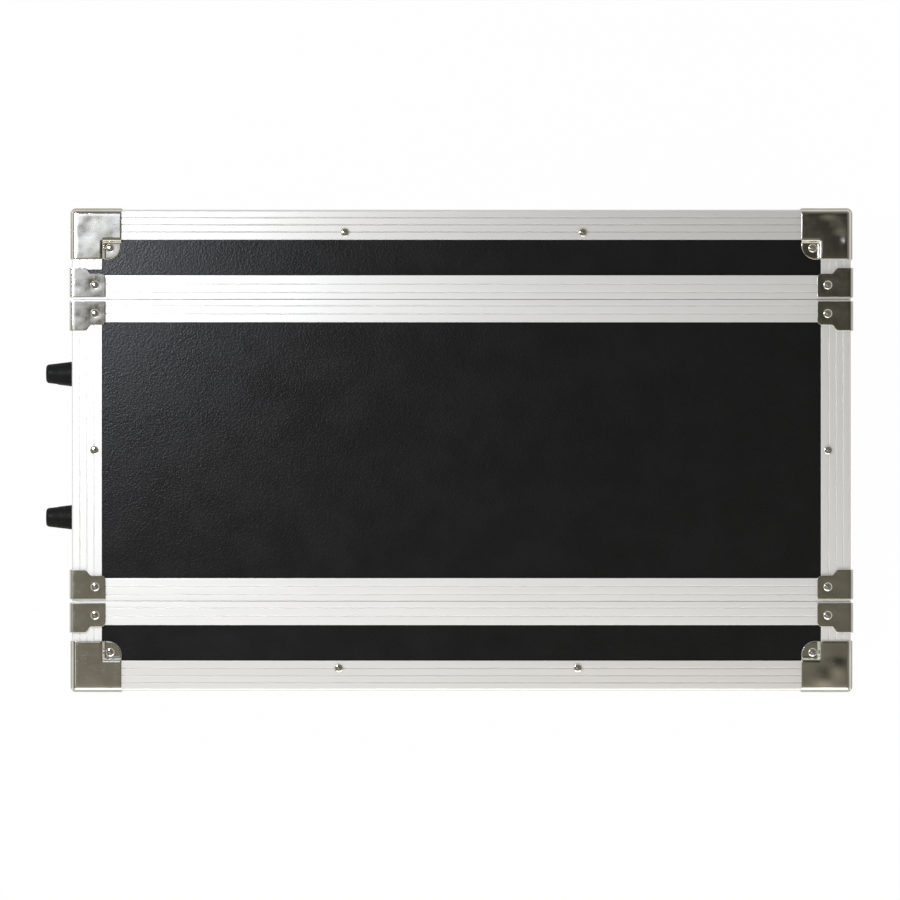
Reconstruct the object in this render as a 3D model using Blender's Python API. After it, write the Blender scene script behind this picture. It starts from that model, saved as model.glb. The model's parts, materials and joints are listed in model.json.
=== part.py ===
"""Short-depth rack case with a lift-off lid at each end, built from separate pieces.

Metres, +Z up. X runs across the rack, the front lid is at -Y and the rear lid at +Y.
The origin lies under the middle of the whole, feet included, on the plane that its steel braces
stand on. The pieces are laid out about the middle of the rack and then moved across to it.
Shapes on the case's walls are drawn in a frame of their own: out from the wall's outer face,
then along Y away from the lid joint, then up.
"""

from math import cos, pi, sin, sqrt, tau

import bmesh
import bpy
from mathutils import Vector

# Fits
SEAT_GAP = 0.0003
CUT_OVERRUN = 0.002
MERGE_DISTANCE = 0.000001

# Rack equipment that the case is made for
RACK_UNIT = 0.04445
RACK_UNITS = 4
RACK_PANEL_WIDTH = 0.4826
RACK_EAR_WIDTH = 0.0163
RACK_HOLE_INSET = 0.00875
RACK_HOLE_SHARES = (1 / 7, 1 / 2, 6 / 7)
RACK_SIDE_PLAY = 0.0064
RACK_HEIGHT_PLAY = 0.00085

# Walls
PANEL_THICKNESS = 0.009
ALUMINIUM_THICKNESS = 0.0012
BODY_DEPTH = 0.2012
LID_DEPTH = 0.0597
JOINT_GAP = 0.0003

# Ribbed aluminium angle on the outer edges
ANGLE_LEG = 0.020
ANGLE_BEND_RADIUS = 0.0015
ANGLE_GROOVE_SHARES = (0.265, 0.5, 0.74)
GROOVE_WIDTH = 0.0009
GROOVE_DEPTH = 0.00045
BEND_STEPS = 3

# Aluminium rims that close on each other at the lid joints
BODY_RIM_LEG = 0.0153
LID_RIM_LEG = 0.0160
RIM_INNER_LEG = 0.012
RIM_GROOVE_SHARES = (0.275, 0.632)
TONGUE_INSET = 0.0033
TONGUE_THICKNESS = 0.0024
TONGUE_HEIGHT = 0.004
SHORT_POST_LENGTH_CUT = 0.0036
SHORT_POST_CUT_SHARE = 0.5

# Steel corners of the lids
CORNER_THICKNESS = 0.0008
CORNER_REACH_SHARE = 0.5625
CORNER_BEND_RADIUS = 0.0024
CORNER_TAB_ROUND_SHARE = 0.7422
CORNER_TAB_STEPS = 4

# Steel braces beside the lid joints
BRACE_THICKNESS = 0.0012
BRACE_WIDTH = 0.0226
BRACE_JOINT_SETBACK = 0.0013
BRACE_LONG_SIDE = 0.0196
BRACE_SHORT_SIDE = 0.0166
BRACE_STEP_START = 0.0096
BRACE_STEP_RUN = 0.0034
BRACE_CORNER_RADIUS = 0.0034
BRACE_BEND_RADIUS = 0.0026
BRACE_STEPS = 3
INNER_BEND_RADIUS = 0.0005

# Rack rails
RAIL_THICKNESS = 0.002
RAIL_SETBACK = 0.018
RAIL_SIDE_LEG = 0.022
RAIL_HOLE_DIAMETER = 0.005
RAIL_HOLE_SIDES = 10

# Twist latches
DISH_THICKNESS = 0.001
DISH_FLANGE_HALF_WIDTH = 0.028
DISH_PAN_HALF_WIDTH = 0.0215
DISH_PAN_LENGTH = 0.0388
DISH_FLANGE_BORDER = 0.0062
DISH_JOINT_SETBACK = 0.0005
DISH_FLANGE_CORNER_RADIUS = 0.005
DISH_PAN_CORNER_RADIUS = 0.004
DISH_CORNER_STEPS = 3
KEEPER_PAN_HALF_WIDTH = 0.0135
KEEPER_PAN_LENGTH = 0.0188
KEEPER_FLANGE_BORDER = 0.0042
STRIKE_START = 0.0075
STRIKE_LENGTH = 0.0045
LEVER_CENTRE = 0.0203
LEVER_WING_RADIUS = 0.0172
LEVER_HUB_RADIUS = 0.0062
LEVER_THICKNESS = 0.0034
LEVER_TOP_OUT = 0.0012
LEVER_STEM_RADIUS = 0.0032
LEVER_SIDES = 36
LEVER_WAIST_POWER = 2.4
HOOK_THICKNESS = 0.0015
HOOK_HALF_WIDTH = 0.0095
HOOK_REACH = 0.0118
HOOK_TAIL = 0.0345
HOOK_TRAVEL = 0.006
BOSS_RADIUS = 0.0085
ROUND_SIDES = 24

# Spring handle
HANDLE_WIDTH_SHARE = 0.7464
HANDLE_FLANGE_HALF_LENGTH = 0.0665
HANDLE_FLANGE_BORDER = 0.0085
HANDLE_FLANGE_CORNER_RADIUS = 0.008
HANDLE_PAN_CORNER_RADIUS = 0.005
HANDLE_CORNER_STEPS = 4
HANDLE_THICKNESS = 0.0012
HANDLE_PAN_DEPTH = 0.013
BAIL_RADIUS = 0.003
BAIL_AXIS_WALL_GAP = 0.0095
BAIL_AXIS_DEPTH = 0.0048
BAIL_ARM_WALL_GAP = 0.0135
BAIL_BEND_RADIUS = 0.005
BAIL_BEND_STEPS = 4
BAIL_SIDES = 10
BAIL_PIN_END_GAP = 0.0006
LUG_HALF_WIDTH = 0.0062
LUG_TOP_WALL = 0.0022
GRIP_RADIUS = 0.0055
GRIP_WALL_GAP = 0.015
GRIP_ARM_GAP = 0.008
GRIP_BEAD = 0.0012

# Rubber feet on the left side
FOOT_HEIGHT = 0.0205
FOOT_BASE_RADIUS = 0.0088
FOOT_TIP_RADIUS = 0.0058
FOOT_TIP_ROUNDING = 0.0024
FOOT_SCREW_RADIUS = 0.0018
FOOT_SCREW_DEPTH = 0.009
FOOT_SPACING_Y = 0.0964
FOOT_SHIFT_Y = 0.0031
FOOT_SPACING_Z = 0.130
FOOT_SIDES = 20
FOOT_ROUNDING_STEPS = 3

# Levels and places that follow from the sizes above
SKIN_OUT = SEAT_GAP + ALUMINIUM_THICKNESS
PLATE_SEAT_OUT = SKIN_OUT + SEAT_GAP
CORNER_OUT = PLATE_SEAT_OUT + CORNER_THICKNESS
BRACE_OUT = PLATE_SEAT_OUT + BRACE_THICKNESS
RIM_WALL = PANEL_THICKNESS + SEAT_GAP + ALUMINIUM_THICKNESS
RACK_HEIGHT = RACK_UNIT * RACK_UNITS
PANEL_HALF_X = RACK_PANEL_WIDTH / 2 + RACK_SIDE_PLAY + RIM_WALL
PANEL_HALF_Z = RACK_HEIGHT / 2 + RACK_HEIGHT_PLAY + RIM_WALL
MID_Z = PANEL_HALF_Z + BRACE_OUT
JOINT_Y = BODY_DEPTH / 2
RIM_FACE = JOINT_GAP / 2
RIM_BACK = RIM_FACE + ALUMINIUM_THICKNESS
GROOVE_SLOT_FLOOR = RIM_FACE + TONGUE_HEIGHT + SEAT_GAP
GROOVE_SLOT_BACK = GROOVE_SLOT_FLOOR + ALUMINIUM_THICKNESS
PAN_UNDERSIDE = -(PANEL_THICKNESS - SEAT_GAP)
PAN_FLOOR = PAN_UNDERSIDE + DISH_THICKNESS
LEVER_UNDERSIDE = LEVER_TOP_OUT - LEVER_THICKNESS
HOOK_TOP = LEVER_UNDERSIDE - SEAT_GAP
HOOK_UNDERSIDE = HOOK_TOP - HOOK_THICKNESS
HOOK_SEAT = HOOK_UNDERSIDE - SEAT_GAP
BAIL_AXIS_OUT = -BAIL_AXIS_DEPTH
HANDLE_FLANGE_TOP = SEAT_GAP + HANDLE_THICKNESS
HANDLE_FLOOR = HANDLE_FLANGE_TOP - HANDLE_PAN_DEPTH
CORNER_SIZE = CORNER_REACH_SHARE * (LID_DEPTH + CORNER_OUT - SKIN_OUT)
CORNER_ARM = ANGLE_LEG + CORNER_OUT - SKIN_OUT + SEAT_GAP
CORNER_TAB_RADIUS = CORNER_TAB_ROUND_SHARE * (CORNER_SIZE - CORNER_ARM)
HANDLE_FLANGE_HALF_WIDTH = HANDLE_WIDTH_SHARE * (JOINT_Y - DISH_PAN_LENGTH - DISH_FLANGE_BORDER)
HANDLE_PAN_HALF_WIDTH = HANDLE_FLANGE_HALF_WIDTH - HANDLE_FLANGE_BORDER
HANDLE_PAN_HALF_LENGTH = HANDLE_FLANGE_HALF_LENGTH - HANDLE_FLANGE_BORDER
BAIL_AXIS_Y = HANDLE_PAN_HALF_WIDTH - BAIL_AXIS_WALL_GAP
BAIL_ARM = BAIL_AXIS_Y + HANDLE_PAN_HALF_WIDTH - GRIP_WALL_GAP
BAIL_ARM_Z = HANDLE_PAN_HALF_LENGTH - BAIL_ARM_WALL_GAP
GRIP_HALF_LENGTH = BAIL_ARM_Z - GRIP_ARM_GAP
ACROSS_TO_MIDDLE = Vector(((FOOT_HEIGHT - BRACE_OUT) / 2, 0, 0))

SIDES = {"right": 1, "left": -1}
ENDS = {"rear": 1, "front": -1}
LEVELS = {"top": 1, "bottom": -1}


def clear_scene():
    """Removes the objects that the scene starts with."""
    for scene_object in list(bpy.data.objects):
        bpy.data.objects.remove(scene_object, do_unlink=True)


def make_material(name, colour, metallic, roughness):
    """Returns a Principled material."""
    material = bpy.data.materials.new(name)
    material.use_nodes = True
    shader = material.node_tree.nodes["Principled BSDF"]
    shader.inputs["Base Color"].default_value = (*colour, 1.0)
    shader.inputs["Metallic"].default_value = metallic
    shader.inputs["Roughness"].default_value = roughness
    return material


def make_empty(name, location):
    """Returns an empty that carries the pieces of one moving group."""
    empty = bpy.data.objects.new(name, None)
    empty.location = Vector(location) + ACROSS_TO_MIDDLE
    bpy.context.collection.objects.link(empty)
    return empty


def face_outward(shape):
    """Turns every face of a closed shape outward."""
    bmesh.ops.recalc_face_normals(shape, faces=shape.faces)
    if shape.calc_volume(signed=True) < 0:
        bmesh.ops.reverse_faces(shape, faces=shape.faces)


def make_piece(name, shape, material, parent=None, origin=(0, 0, 0), smooth=False):
    """Turns a bmesh into a named object with its origin where it is asked for."""
    origin = Vector(origin)
    face_outward(shape)
    bmesh.ops.translate(shape, verts=shape.verts, vec=-origin)
    mesh = bpy.data.meshes.new(name)
    shape.to_mesh(mesh)
    shape.free()
    mesh.materials.append(material)
    if smooth:
        mesh.shade_smooth()
        mesh.set_sharp_from_angle(angle=pi / 6)
    piece = bpy.data.objects.new(name, mesh)
    bpy.context.collection.objects.link(piece)
    piece.location = origin + ACROSS_TO_MIDDLE
    if parent:
        piece.parent = parent
        piece.location -= parent.location


def scratch_object(shape):
    """Returns a short-lived object for a Boolean."""
    face_outward(shape)
    mesh = bpy.data.meshes.new("scratch")
    shape.to_mesh(mesh)
    shape.free()
    holder = bpy.data.objects.new("scratch", mesh)
    holder.display_type = "WIRE"
    holder.hide_render = True
    bpy.context.collection.objects.link(holder)
    return holder


def boolean(base, operation, *tools):
    """Applies exact Booleans to a bmesh and returns the new one; the shapes given are used up."""
    holders = [scratch_object(base)]
    for tool in tools:
        holders.append(scratch_object(tool))
        modifier = holders[0].modifiers.new(operation, "BOOLEAN")
        modifier.operation = operation
        modifier.solver = "EXACT"
        modifier.object = holders[-1]
    bpy.context.view_layer.update()
    result = bmesh.new()
    result.from_object(holders[0], bpy.context.evaluated_depsgraph_get())
    for holder in holders:
        mesh = holder.data
        bpy.data.objects.remove(holder, do_unlink=True)
        bpy.data.meshes.remove(mesh)
    bmesh.ops.remove_doubles(result, verts=result.verts, dist=MERGE_DISTANCE)
    return result


def join_rings(shape, first, second):
    """Bridges two rings of vertices that match one to one."""
    count = len(first)
    for i in range(count):
        j = (i + 1) % count
        shape.faces.new((first[i], first[j], second[j], second[i]))


def prism(outline, low, high, axis):
    """Extrudes a flat outline along an axis, 0, 1 or 2; its points are the other two in order."""
    shape = bmesh.new()
    rings = []
    for level in (low, high):
        ring = []
        for point in outline:
            place = list(point)
            place.insert(axis, level)
            ring.append(shape.verts.new(place))
        rings.append(ring)
    join_rings(shape, *rings)
    for ring in rings:
        shape.faces.new(ring)
    return shape


def rounded_rectangle(half_first, half_second, radius, steps):
    """Returns the outline of a rectangle with round corners, centred on zero."""
    points = []
    for quarter, (first, second) in enumerate(((1, 1), (-1, 1), (-1, -1), (1, -1))):
        for i in range(steps + 1):
            angle = pi / 2 * (quarter + i / steps)
            points.append((first * (half_first - radius) + radius * cos(angle),
                           second * (half_second - radius) + radius * sin(angle)))
    return points


def block(low, high):
    """Returns a box between two corners."""
    outline = [(low[0], low[1]), (high[0], low[1]), (high[0], high[1]), (low[0], high[1])]
    return prism(outline, low[2], high[2], 2)


def turned(profile, sides):
    """Turns a profile of (along X, radius) points round the X axis, closed at both ends."""
    shape = bmesh.new()
    rings = []
    for along, radius in profile:
        ring = []
        for i in range(sides):
            angle = tau * i / sides
            ring.append(shape.verts.new((along, radius * cos(angle), radius * sin(angle))))
        rings.append(ring)
    for first, second in zip(rings, rings[1:]):
        join_rings(shape, first, second)
    shape.faces.new(rings[0])
    shape.faces.new(rings[-1])
    return shape


def moved(shape, vector):
    """Moves a shape and returns it."""
    bmesh.ops.translate(shape, verts=shape.verts, vec=Vector(vector))
    return shape


def copy_to(shape, place):
    """Returns a copy of a shape with each vertex put where a place function says."""
    copy = shape.copy()
    for vertex in copy.verts:
        vertex.co = place(*vertex.co)
    return copy


def side_place(side, end):
    """Returns the map from a side wall's frame at a lid joint to the world."""
    return lambda out, along, up: (
        side * (PANEL_HALF_X + out), end * (JOINT_Y + along), MID_Z + up)


def grooved_line(start, end, inward, shares):
    """Returns the points of a ribbed face, with a V groove at each share of the way along it."""
    start, end, inward = Vector(start), Vector(end), Vector(inward)
    half_groove = (end - start).normalized() * (GROOVE_WIDTH / 2)
    points = [start]
    for share in shares:
        middle = start.lerp(end, share)
        points += [middle - half_groove, middle + inward * GROOVE_DEPTH, middle + half_groove]
    return [tuple(point) for point in points + [end]]


def bend_arc(radius, steps):
    """Returns the points of an outer bend between its two tangent points, both left out."""
    angles = [pi / 2 * i / steps for i in range(1, steps)]
    return [(radius - radius * sin(angle), radius - radius * cos(angle)) for angle in angles]


def angle_profile():
    """Returns the ribbed angle's section, measured inward from its outer corner."""
    wall = ALUMINIUM_THICKNESS
    leg = grooved_line((0, 0), (ANGLE_LEG, 0), (0, 1), ANGLE_GROOVE_SHARES)[1:]
    first = list(reversed(leg)) + [(ANGLE_BEND_RADIUS, 0)]
    second = [(along, inward) for inward, along in reversed(first)]
    inner = [(wall, ANGLE_LEG), (wall, wall), (ANGLE_LEG, wall)]
    return first + bend_arc(ANGLE_BEND_RADIUS, BEND_STEPS) + second + inner


def body_rim_profile():
    """Returns the body rim's section as (out, distance from the joint into the body)."""
    outer = grooved_line((SKIN_OUT, RIM_FACE), (SKIN_OUT, BODY_RIM_LEG), (-1, 0), RIM_GROOVE_SHARES)
    tongue_side = -(TONGUE_INSET + TONGUE_THICKNESS)
    return outer + [
        (SEAT_GAP, BODY_RIM_LEG),
        (SEAT_GAP, RIM_BACK),
        (-PANEL_THICKNESS - SEAT_GAP, RIM_BACK),
        (-PANEL_THICKNESS - SEAT_GAP, RIM_INNER_LEG),
        (-RIM_WALL, RIM_INNER_LEG),
        (-RIM_WALL, RIM_FACE),
        (tongue_side, RIM_FACE),
        (tongue_side, RIM_FACE - TONGUE_HEIGHT),
        (-TONGUE_INSET, RIM_FACE - TONGUE_HEIGHT),
        (-TONGUE_INSET, RIM_FACE),
    ]


def lid_rim_profile():
    """Returns the lid rim's section as (out, distance from the joint into the lid)."""
    outer = grooved_line((SKIN_OUT, RIM_FACE), (SKIN_OUT, LID_RIM_LEG), (-1, 0), RIM_GROOVE_SHARES)
    slot_outer = -TONGUE_INSET + SEAT_GAP
    slot_inner = -(TONGUE_INSET + TONGUE_THICKNESS + SEAT_GAP)
    return outer + [
        (SEAT_GAP, LID_RIM_LEG),
        (SEAT_GAP, RIM_BACK),
        (slot_outer + ALUMINIUM_THICKNESS, RIM_BACK),
        (slot_outer + ALUMINIUM_THICKNESS, GROOVE_SLOT_BACK),
        (slot_inner - ALUMINIUM_THICKNESS, GROOVE_SLOT_BACK),
        (slot_inner - ALUMINIUM_THICKNESS, RIM_BACK),
        (-PANEL_THICKNESS - SEAT_GAP, RIM_BACK),
        (-PANEL_THICKNESS - SEAT_GAP, RIM_INNER_LEG),
        (-RIM_WALL, RIM_INNER_LEG),
        (-RIM_WALL, RIM_FACE),
        (slot_inner, RIM_FACE),
        (slot_inner, GROOVE_SLOT_FLOOR),
        (slot_outer, GROOVE_SLOT_FLOOR),
        (slot_outer, RIM_FACE),
    ]


def frame_sweep(profile, to_y):
    """Sweeps a section of (out, along) points round the case, mitred at its four corners."""
    shape = bmesh.new()
    rings = []
    for side, level in ((1, 1), (-1, 1), (-1, -1), (1, -1)):
        ring = []
        for out, along in profile:
            x = side * (PANEL_HALF_X + out)
            z = MID_Z + level * (PANEL_HALF_Z + out)
            ring.append(shape.verts.new((x, to_y(along), z)))
        rings.append(ring)
    for first, second in zip(rings, rings[1:] + rings[:1]):
        join_rings(shape, first, second)
    return shape


def in_body(end):
    """Returns the map from a distance into the body, from a lid joint, to Y."""
    return lambda along: end * (JOINT_Y - along)


def in_lid(end):
    """Returns the map from a distance into a lid, from its joint, to Y."""
    return lambda along: end * (JOINT_Y + along)


def pan_cut(side, end, half_width, length, into_lid, floor):
    """Returns the cutter that makes room for a latch dish or its keeper."""
    start = -CUT_OVERRUN if into_lid else CUT_OVERRUN + TONGUE_HEIGHT
    finish = length + DISH_THICKNESS + SEAT_GAP
    finish = finish if into_lid else -finish
    half = half_width + DISH_THICKNESS + SEAT_GAP
    shape = block((floor, min(start, finish), -half),
                  (SKIN_OUT + CUT_OVERRUN, max(start, finish), half))
    return copy_to(shape, side_place(side, end))


def latch_cuts(end, into_lid, floor):
    """Returns the latch cutters for one end of the case."""
    half_width = KEEPER_PAN_HALF_WIDTH if into_lid else DISH_PAN_HALF_WIDTH
    length = KEEPER_PAN_LENGTH if into_lid else DISH_PAN_LENGTH
    return [pan_cut(side, end, half_width, length, into_lid, floor) for side in SIDES.values()]


def build_body_shell(material):
    """Builds the open plywood sleeve with its cut-outs."""
    reach = JOINT_Y - RIM_BACK - SEAT_GAP
    wall = [(0, -reach), (0, reach), (-PANEL_THICKNESS, reach), (-PANEL_THICKNESS, -reach)]
    sleeve = frame_sweep(wall, lambda along: along)
    floor = -PANEL_THICKNESS - CUT_OVERRUN
    cuts = latch_cuts(1, False, floor) + latch_cuts(-1, False, floor)
    half_y = HANDLE_PAN_HALF_WIDTH + HANDLE_THICKNESS + SEAT_GAP
    half_z = HANDLE_PAN_HALF_LENGTH + HANDLE_THICKNESS + SEAT_GAP
    handle_cut = block((PANEL_HALF_X - PANEL_THICKNESS - CUT_OVERRUN, -half_y, MID_Z - half_z),
                       (PANEL_HALF_X + CUT_OVERRUN, half_y, MID_Z + half_z))
    make_piece("body_shell", boolean(sleeve, "DIFFERENCE", handle_cut, *cuts), material)


def build_body_rims(material):
    """Builds the rim with the tongue at each end of the body."""
    for end_name, end in ENDS.items():
        rim = frame_sweep(body_rim_profile(), in_body(end))
        rim = boolean(rim, "DIFFERENCE", *latch_cuts(end, False, PAN_UNDERSIDE - SEAT_GAP))
        make_piece(f"body_rim_{end_name}", rim, material)


def build_body_edges(material):
    """Builds the ribbed angles along the body's four long edges."""
    reach = JOINT_Y - BODY_RIM_LEG - SEAT_GAP
    bar = prism(angle_profile(), -reach, reach, 1)
    for level_name, level in LEVELS.items():
        for side_name, side in SIDES.items():
            place = edge_place(side, level)
            make_piece(f"body_edge_{level_name}_{side_name}", copy_to(bar, place), material)
    bar.free()


def edge_place(side, level):
    """Returns the map from a section measured inward from an outer edge to the world."""
    return lambda a, y, b: (
        side * (PANEL_HALF_X + SKIN_OUT - a), y, MID_Z + level * (PANEL_HALF_Z + SKIN_OUT - b))


def build_lid_shell(end_name, end, material, parent):
    """Builds a lid's plywood tray."""
    face = LID_DEPTH - SKIN_OUT
    start = GROOVE_SLOT_BACK + SEAT_GAP
    shape = bmesh.new()
    rings = []
    inner_face = face - PANEL_THICKNESS
    for out, along in ((0, face), (0, start), (-PANEL_THICKNESS, start), (-PANEL_THICKNESS, inner_face)):
        ring = []
        for side, level in ((1, 1), (-1, 1), (-1, -1), (1, -1)):
            place = (side * (PANEL_HALF_X + out), in_lid(end)(along), MID_Z + level * (PANEL_HALF_Z + out))
            ring.append(shape.verts.new(place))
        rings.append(ring)
    for first, second in zip(rings, rings[1:]):
        join_rings(shape, first, second)
    shape.faces.new(rings[0])
    shape.faces.new(rings[-1])
    cuts = latch_cuts(end, True, -PANEL_THICKNESS - CUT_OVERRUN)
    make_piece(f"{end_name}_lid_shell", boolean(shape, "DIFFERENCE", *cuts), material, parent)


def build_lid_frame(end_name, end, material, parent):
    """Builds a lid's riveted aluminium frame: edge angles, short posts and grooved rim."""
    section = [(SKIN_OUT - inward, LID_DEPTH - along) for inward, along in angle_profile()]
    edge = frame_sweep(section, in_lid(end))
    rim = frame_sweep(lid_rim_profile(), in_lid(end))
    overlap = ALUMINIUM_THICKNESS / 2
    start = in_lid(end)(LID_RIM_LEG - overlap)
    finish = in_lid(end)(LID_DEPTH - ANGLE_LEG + overlap)
    post = prism(angle_profile(), min(start, finish), max(start, finish), 1)
    posts = []
    for side in SIDES.values():
        for level in LEVELS.values():
            posts.append(copy_to(post, edge_place(side, level)))
    post.free()
    frame = boolean(edge, "UNION", *posts)
    frame = boolean(frame, "UNION", rim)
    frame = boolean(frame, "DIFFERENCE", *latch_cuts(end, True, PAN_UNDERSIDE - SEAT_GAP))
    if end > 0:
        frame = boolean(frame, "DIFFERENCE", short_post_cut(end))
    make_piece(f"{end_name}_lid_frame", frame, material, parent)


def short_post_cut(end):
    """Returns the cutter for the one post that stops short of its rim, seen from above at the left."""
    outer = PANEL_HALF_X + SKIN_OUT
    low_y = in_lid(end)(LID_RIM_LEG + SEAT_GAP)
    high_y = in_lid(end)(LID_RIM_LEG + SEAT_GAP + SHORT_POST_LENGTH_CUT)
    return block((-outer + ANGLE_LEG * SHORT_POST_CUT_SHARE, low_y, MID_Z + PANEL_HALF_Z),
                 (-outer + ANGLE_LEG + CUT_OVERRUN, high_y, MID_Z + PANEL_HALF_Z + CUT_OVERRUN))


def corner_outline():
    """Returns the open edge of one corner plate as (first, second, depth) points."""
    arm = CORNER_ARM
    drop = SKIN_OUT
    centre = CORNER_SIZE - CORNER_TAB_RADIUS
    size = CORNER_SIZE
    points = [(size, 0, 0), (size, arm, 0), (size, arm + drop, drop)]
    for i in range(CORNER_TAB_STEPS + 1):
        angle = pi / 2 * i / CORNER_TAB_STEPS
        reach = CORNER_TAB_RADIUS
        points.append((centre + reach * cos(angle), centre + reach * sin(angle), drop))
    return points + [(arm + drop, size, drop), (arm, size, 0), (0, size, 0)], arm, drop


def corner_shape():
    """Builds a three-sided pressed corner in the octant inward from its outer point."""
    wall = CORNER_THICKNESS
    boundary, arm, drop = corner_outline()
    shape = bmesh.new()
    made = {}

    def vertex(point):
        key = tuple(round(value / MERGE_DISTANCE) for value in point)
        if key not in made:
            made[key] = shape.verts.new(point)
        return made[key]

    def inner(point):
        first, second, depth = point
        return (first or wall, second or wall, depth + wall)

    def turn(point, normal):
        first, second, depth = point
        return {2: (first, second, depth), 0: (depth, first, second), 1: (second, depth, first)}[normal]

    arms = [(0, 0, 0), (CORNER_SIZE, 0, 0), (CORNER_SIZE, arm, 0), (arm, arm, 0), (arm, CORNER_SIZE, 0),
            (0, CORNER_SIZE, 0)]
    foot = (arm + drop, arm + drop, drop)
    steps = [[(arm, arm, 0), (CORNER_SIZE, arm, 0), (CORNER_SIZE, arm + drop, drop), foot],
             [(arm, arm, 0), foot, (arm + drop, CORNER_SIZE, drop), (arm, CORNER_SIZE, 0)]]
    tab = [foot] + boundary[2:-2]
    for normal in range(3):
        for polygon in [arms, tab] + steps:
            shape.faces.new([vertex(turn(point, normal)) for point in polygon])
            shape.faces.new([vertex(turn(inner(point), normal)) for point in reversed(polygon)])
        for first, second in zip(boundary, boundary[1:]):
            corners = (first, second, inner(second), inner(first))
            shape.faces.new([vertex(turn(point, normal)) for point in corners])
    face_outward(shape)
    bevel_fold(shape, 0, CORNER_BEND_RADIUS, BEND_STEPS)
    bevel_fold(shape, wall, INNER_BEND_RADIUS, 1)
    return shape


def bevel_fold(shape, level, radius, steps):
    """Rounds the three folds of a corner that lie at one level from its outer faces."""
    folds = []
    for edge in shape.edges:
        on_level = [sum(abs(value - level) < MERGE_DISTANCE for value in vertex.co) >= 2
                    for vertex in edge.verts]
        shared = [axis for axis in range(3)
                  if all(abs(vertex.co[axis] - level) < MERGE_DISTANCE for vertex in edge.verts)]
        if all(on_level) and len(shared) == 2:
            folds.append(edge)
    bmesh.ops.bevel(shape, geom=folds, offset=radius, segments=steps, profile=0.5, affect="EDGES")


def build_corners(material, parents):
    """Builds the eight steel corners."""
    shape = corner_shape()
    face = JOINT_Y + LID_DEPTH + CORNER_OUT - SKIN_OUT

    def place(side, end, level):
        return lambda a, b, c: (side * (PANEL_HALF_X + CORNER_OUT - a), end * (face - b),
                                MID_Z + level * (PANEL_HALF_Z + CORNER_OUT - c))

    for end_name, end in ENDS.items():
        for level_name, level in LEVELS.items():
            for side_name, side in SIDES.items():
                name = f"corner_{end_name}_{level_name}_{side_name}"
                copy = copy_to(shape, place(side, end, level))
                make_piece(name, copy, material, parents[end_name], smooth=True)
    shape.free()


def brace_far_side(distance):
    """Returns how far from the joint a brace reaches at a distance from its folded edge."""
    long_side = BRACE_JOINT_SETBACK + BRACE_LONG_SIDE
    short_side = BRACE_JOINT_SETBACK + BRACE_SHORT_SIDE
    if distance <= BRACE_STEP_START:
        return long_side
    if distance <= BRACE_STEP_START + BRACE_STEP_RUN:
        share = (distance - BRACE_STEP_START) / BRACE_STEP_RUN
        return long_side + (short_side - long_side) * share
    past = max(distance - (BRACE_WIDTH - BRACE_CORNER_RADIUS), 0)
    return short_side - BRACE_CORNER_RADIUS + sqrt(max(BRACE_CORNER_RADIUS ** 2 - past ** 2, 0))


def brace_distances():
    """Returns the distances from the fold at which a brace's outline turns."""
    round_start = BRACE_WIDTH - BRACE_CORNER_RADIUS
    turns = [sin(pi / 2 * i / BRACE_STEPS) for i in range(BRACE_STEPS + 1)]
    rounding = [round_start + BRACE_CORNER_RADIUS * turn for turn in turns]
    return [BRACE_BEND_RADIUS, BRACE_STEP_START, BRACE_STEP_START + BRACE_STEP_RUN] + rounding


def brace_shape():
    """Builds a folded brace, measured inward from its outer edge and away from the joint."""
    wall = BRACE_THICKNESS
    shape = bmesh.new()
    sections = []
    for distance in reversed(brace_distances()):
        sections.append(((distance, 0), (distance, wall), brace_far_side(distance)))
    for i in range(1, BEND_STEPS):
        angle = pi / 2 * i / BEND_STEPS
        outer = BRACE_BEND_RADIUS * (1 - sin(angle)), BRACE_BEND_RADIUS * (1 - cos(angle))
        inner = (wall + INNER_BEND_RADIUS * (1 - sin(angle)), wall + INNER_BEND_RADIUS * (1 - cos(angle)))
        sections.append((outer, inner, brace_far_side(0)))
    for distance in brace_distances():
        sections.append(((0, distance), (wall, distance), brace_far_side(distance)))
    rings = []
    for outer, inner, far_side in sections:
        near, far = BRACE_JOINT_SETBACK, far_side
        corners = ((outer, near), (outer, far), (inner, far), (inner, near))
        rings.append([shape.verts.new((point[0], along, point[1])) for point, along in corners])
    for first, second in zip(rings, rings[1:]):
        join_rings(shape, first, second)
    shape.faces.new(rings[0])
    shape.faces.new(rings[-1])
    return shape


def build_braces(material, parents):
    """Builds the folded braces on both sides of each lid joint."""
    shape = brace_shape()

    def place(side, end, level, direction):
        return lambda a, along, b: (side * (PANEL_HALF_X + BRACE_OUT - a),
                                    end * (JOINT_Y + direction * along),
                                    MID_Z + level * (PANEL_HALF_Z + BRACE_OUT - b))

    for end_name, end in ENDS.items():
        for level_name, level in LEVELS.items():
            for side_name, side in SIDES.items():
                for part_name, direction in (("body", -1), ("lid", 1)):
                    name = f"brace_{part_name}_{end_name}_{level_name}_{side_name}"
                    copy = copy_to(shape, place(side, end, level, direction))
                    parent = parents[end_name] if part_name == "lid" else None
                    make_piece(name, copy, material, parent, smooth=True)
    shape.free()


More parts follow.
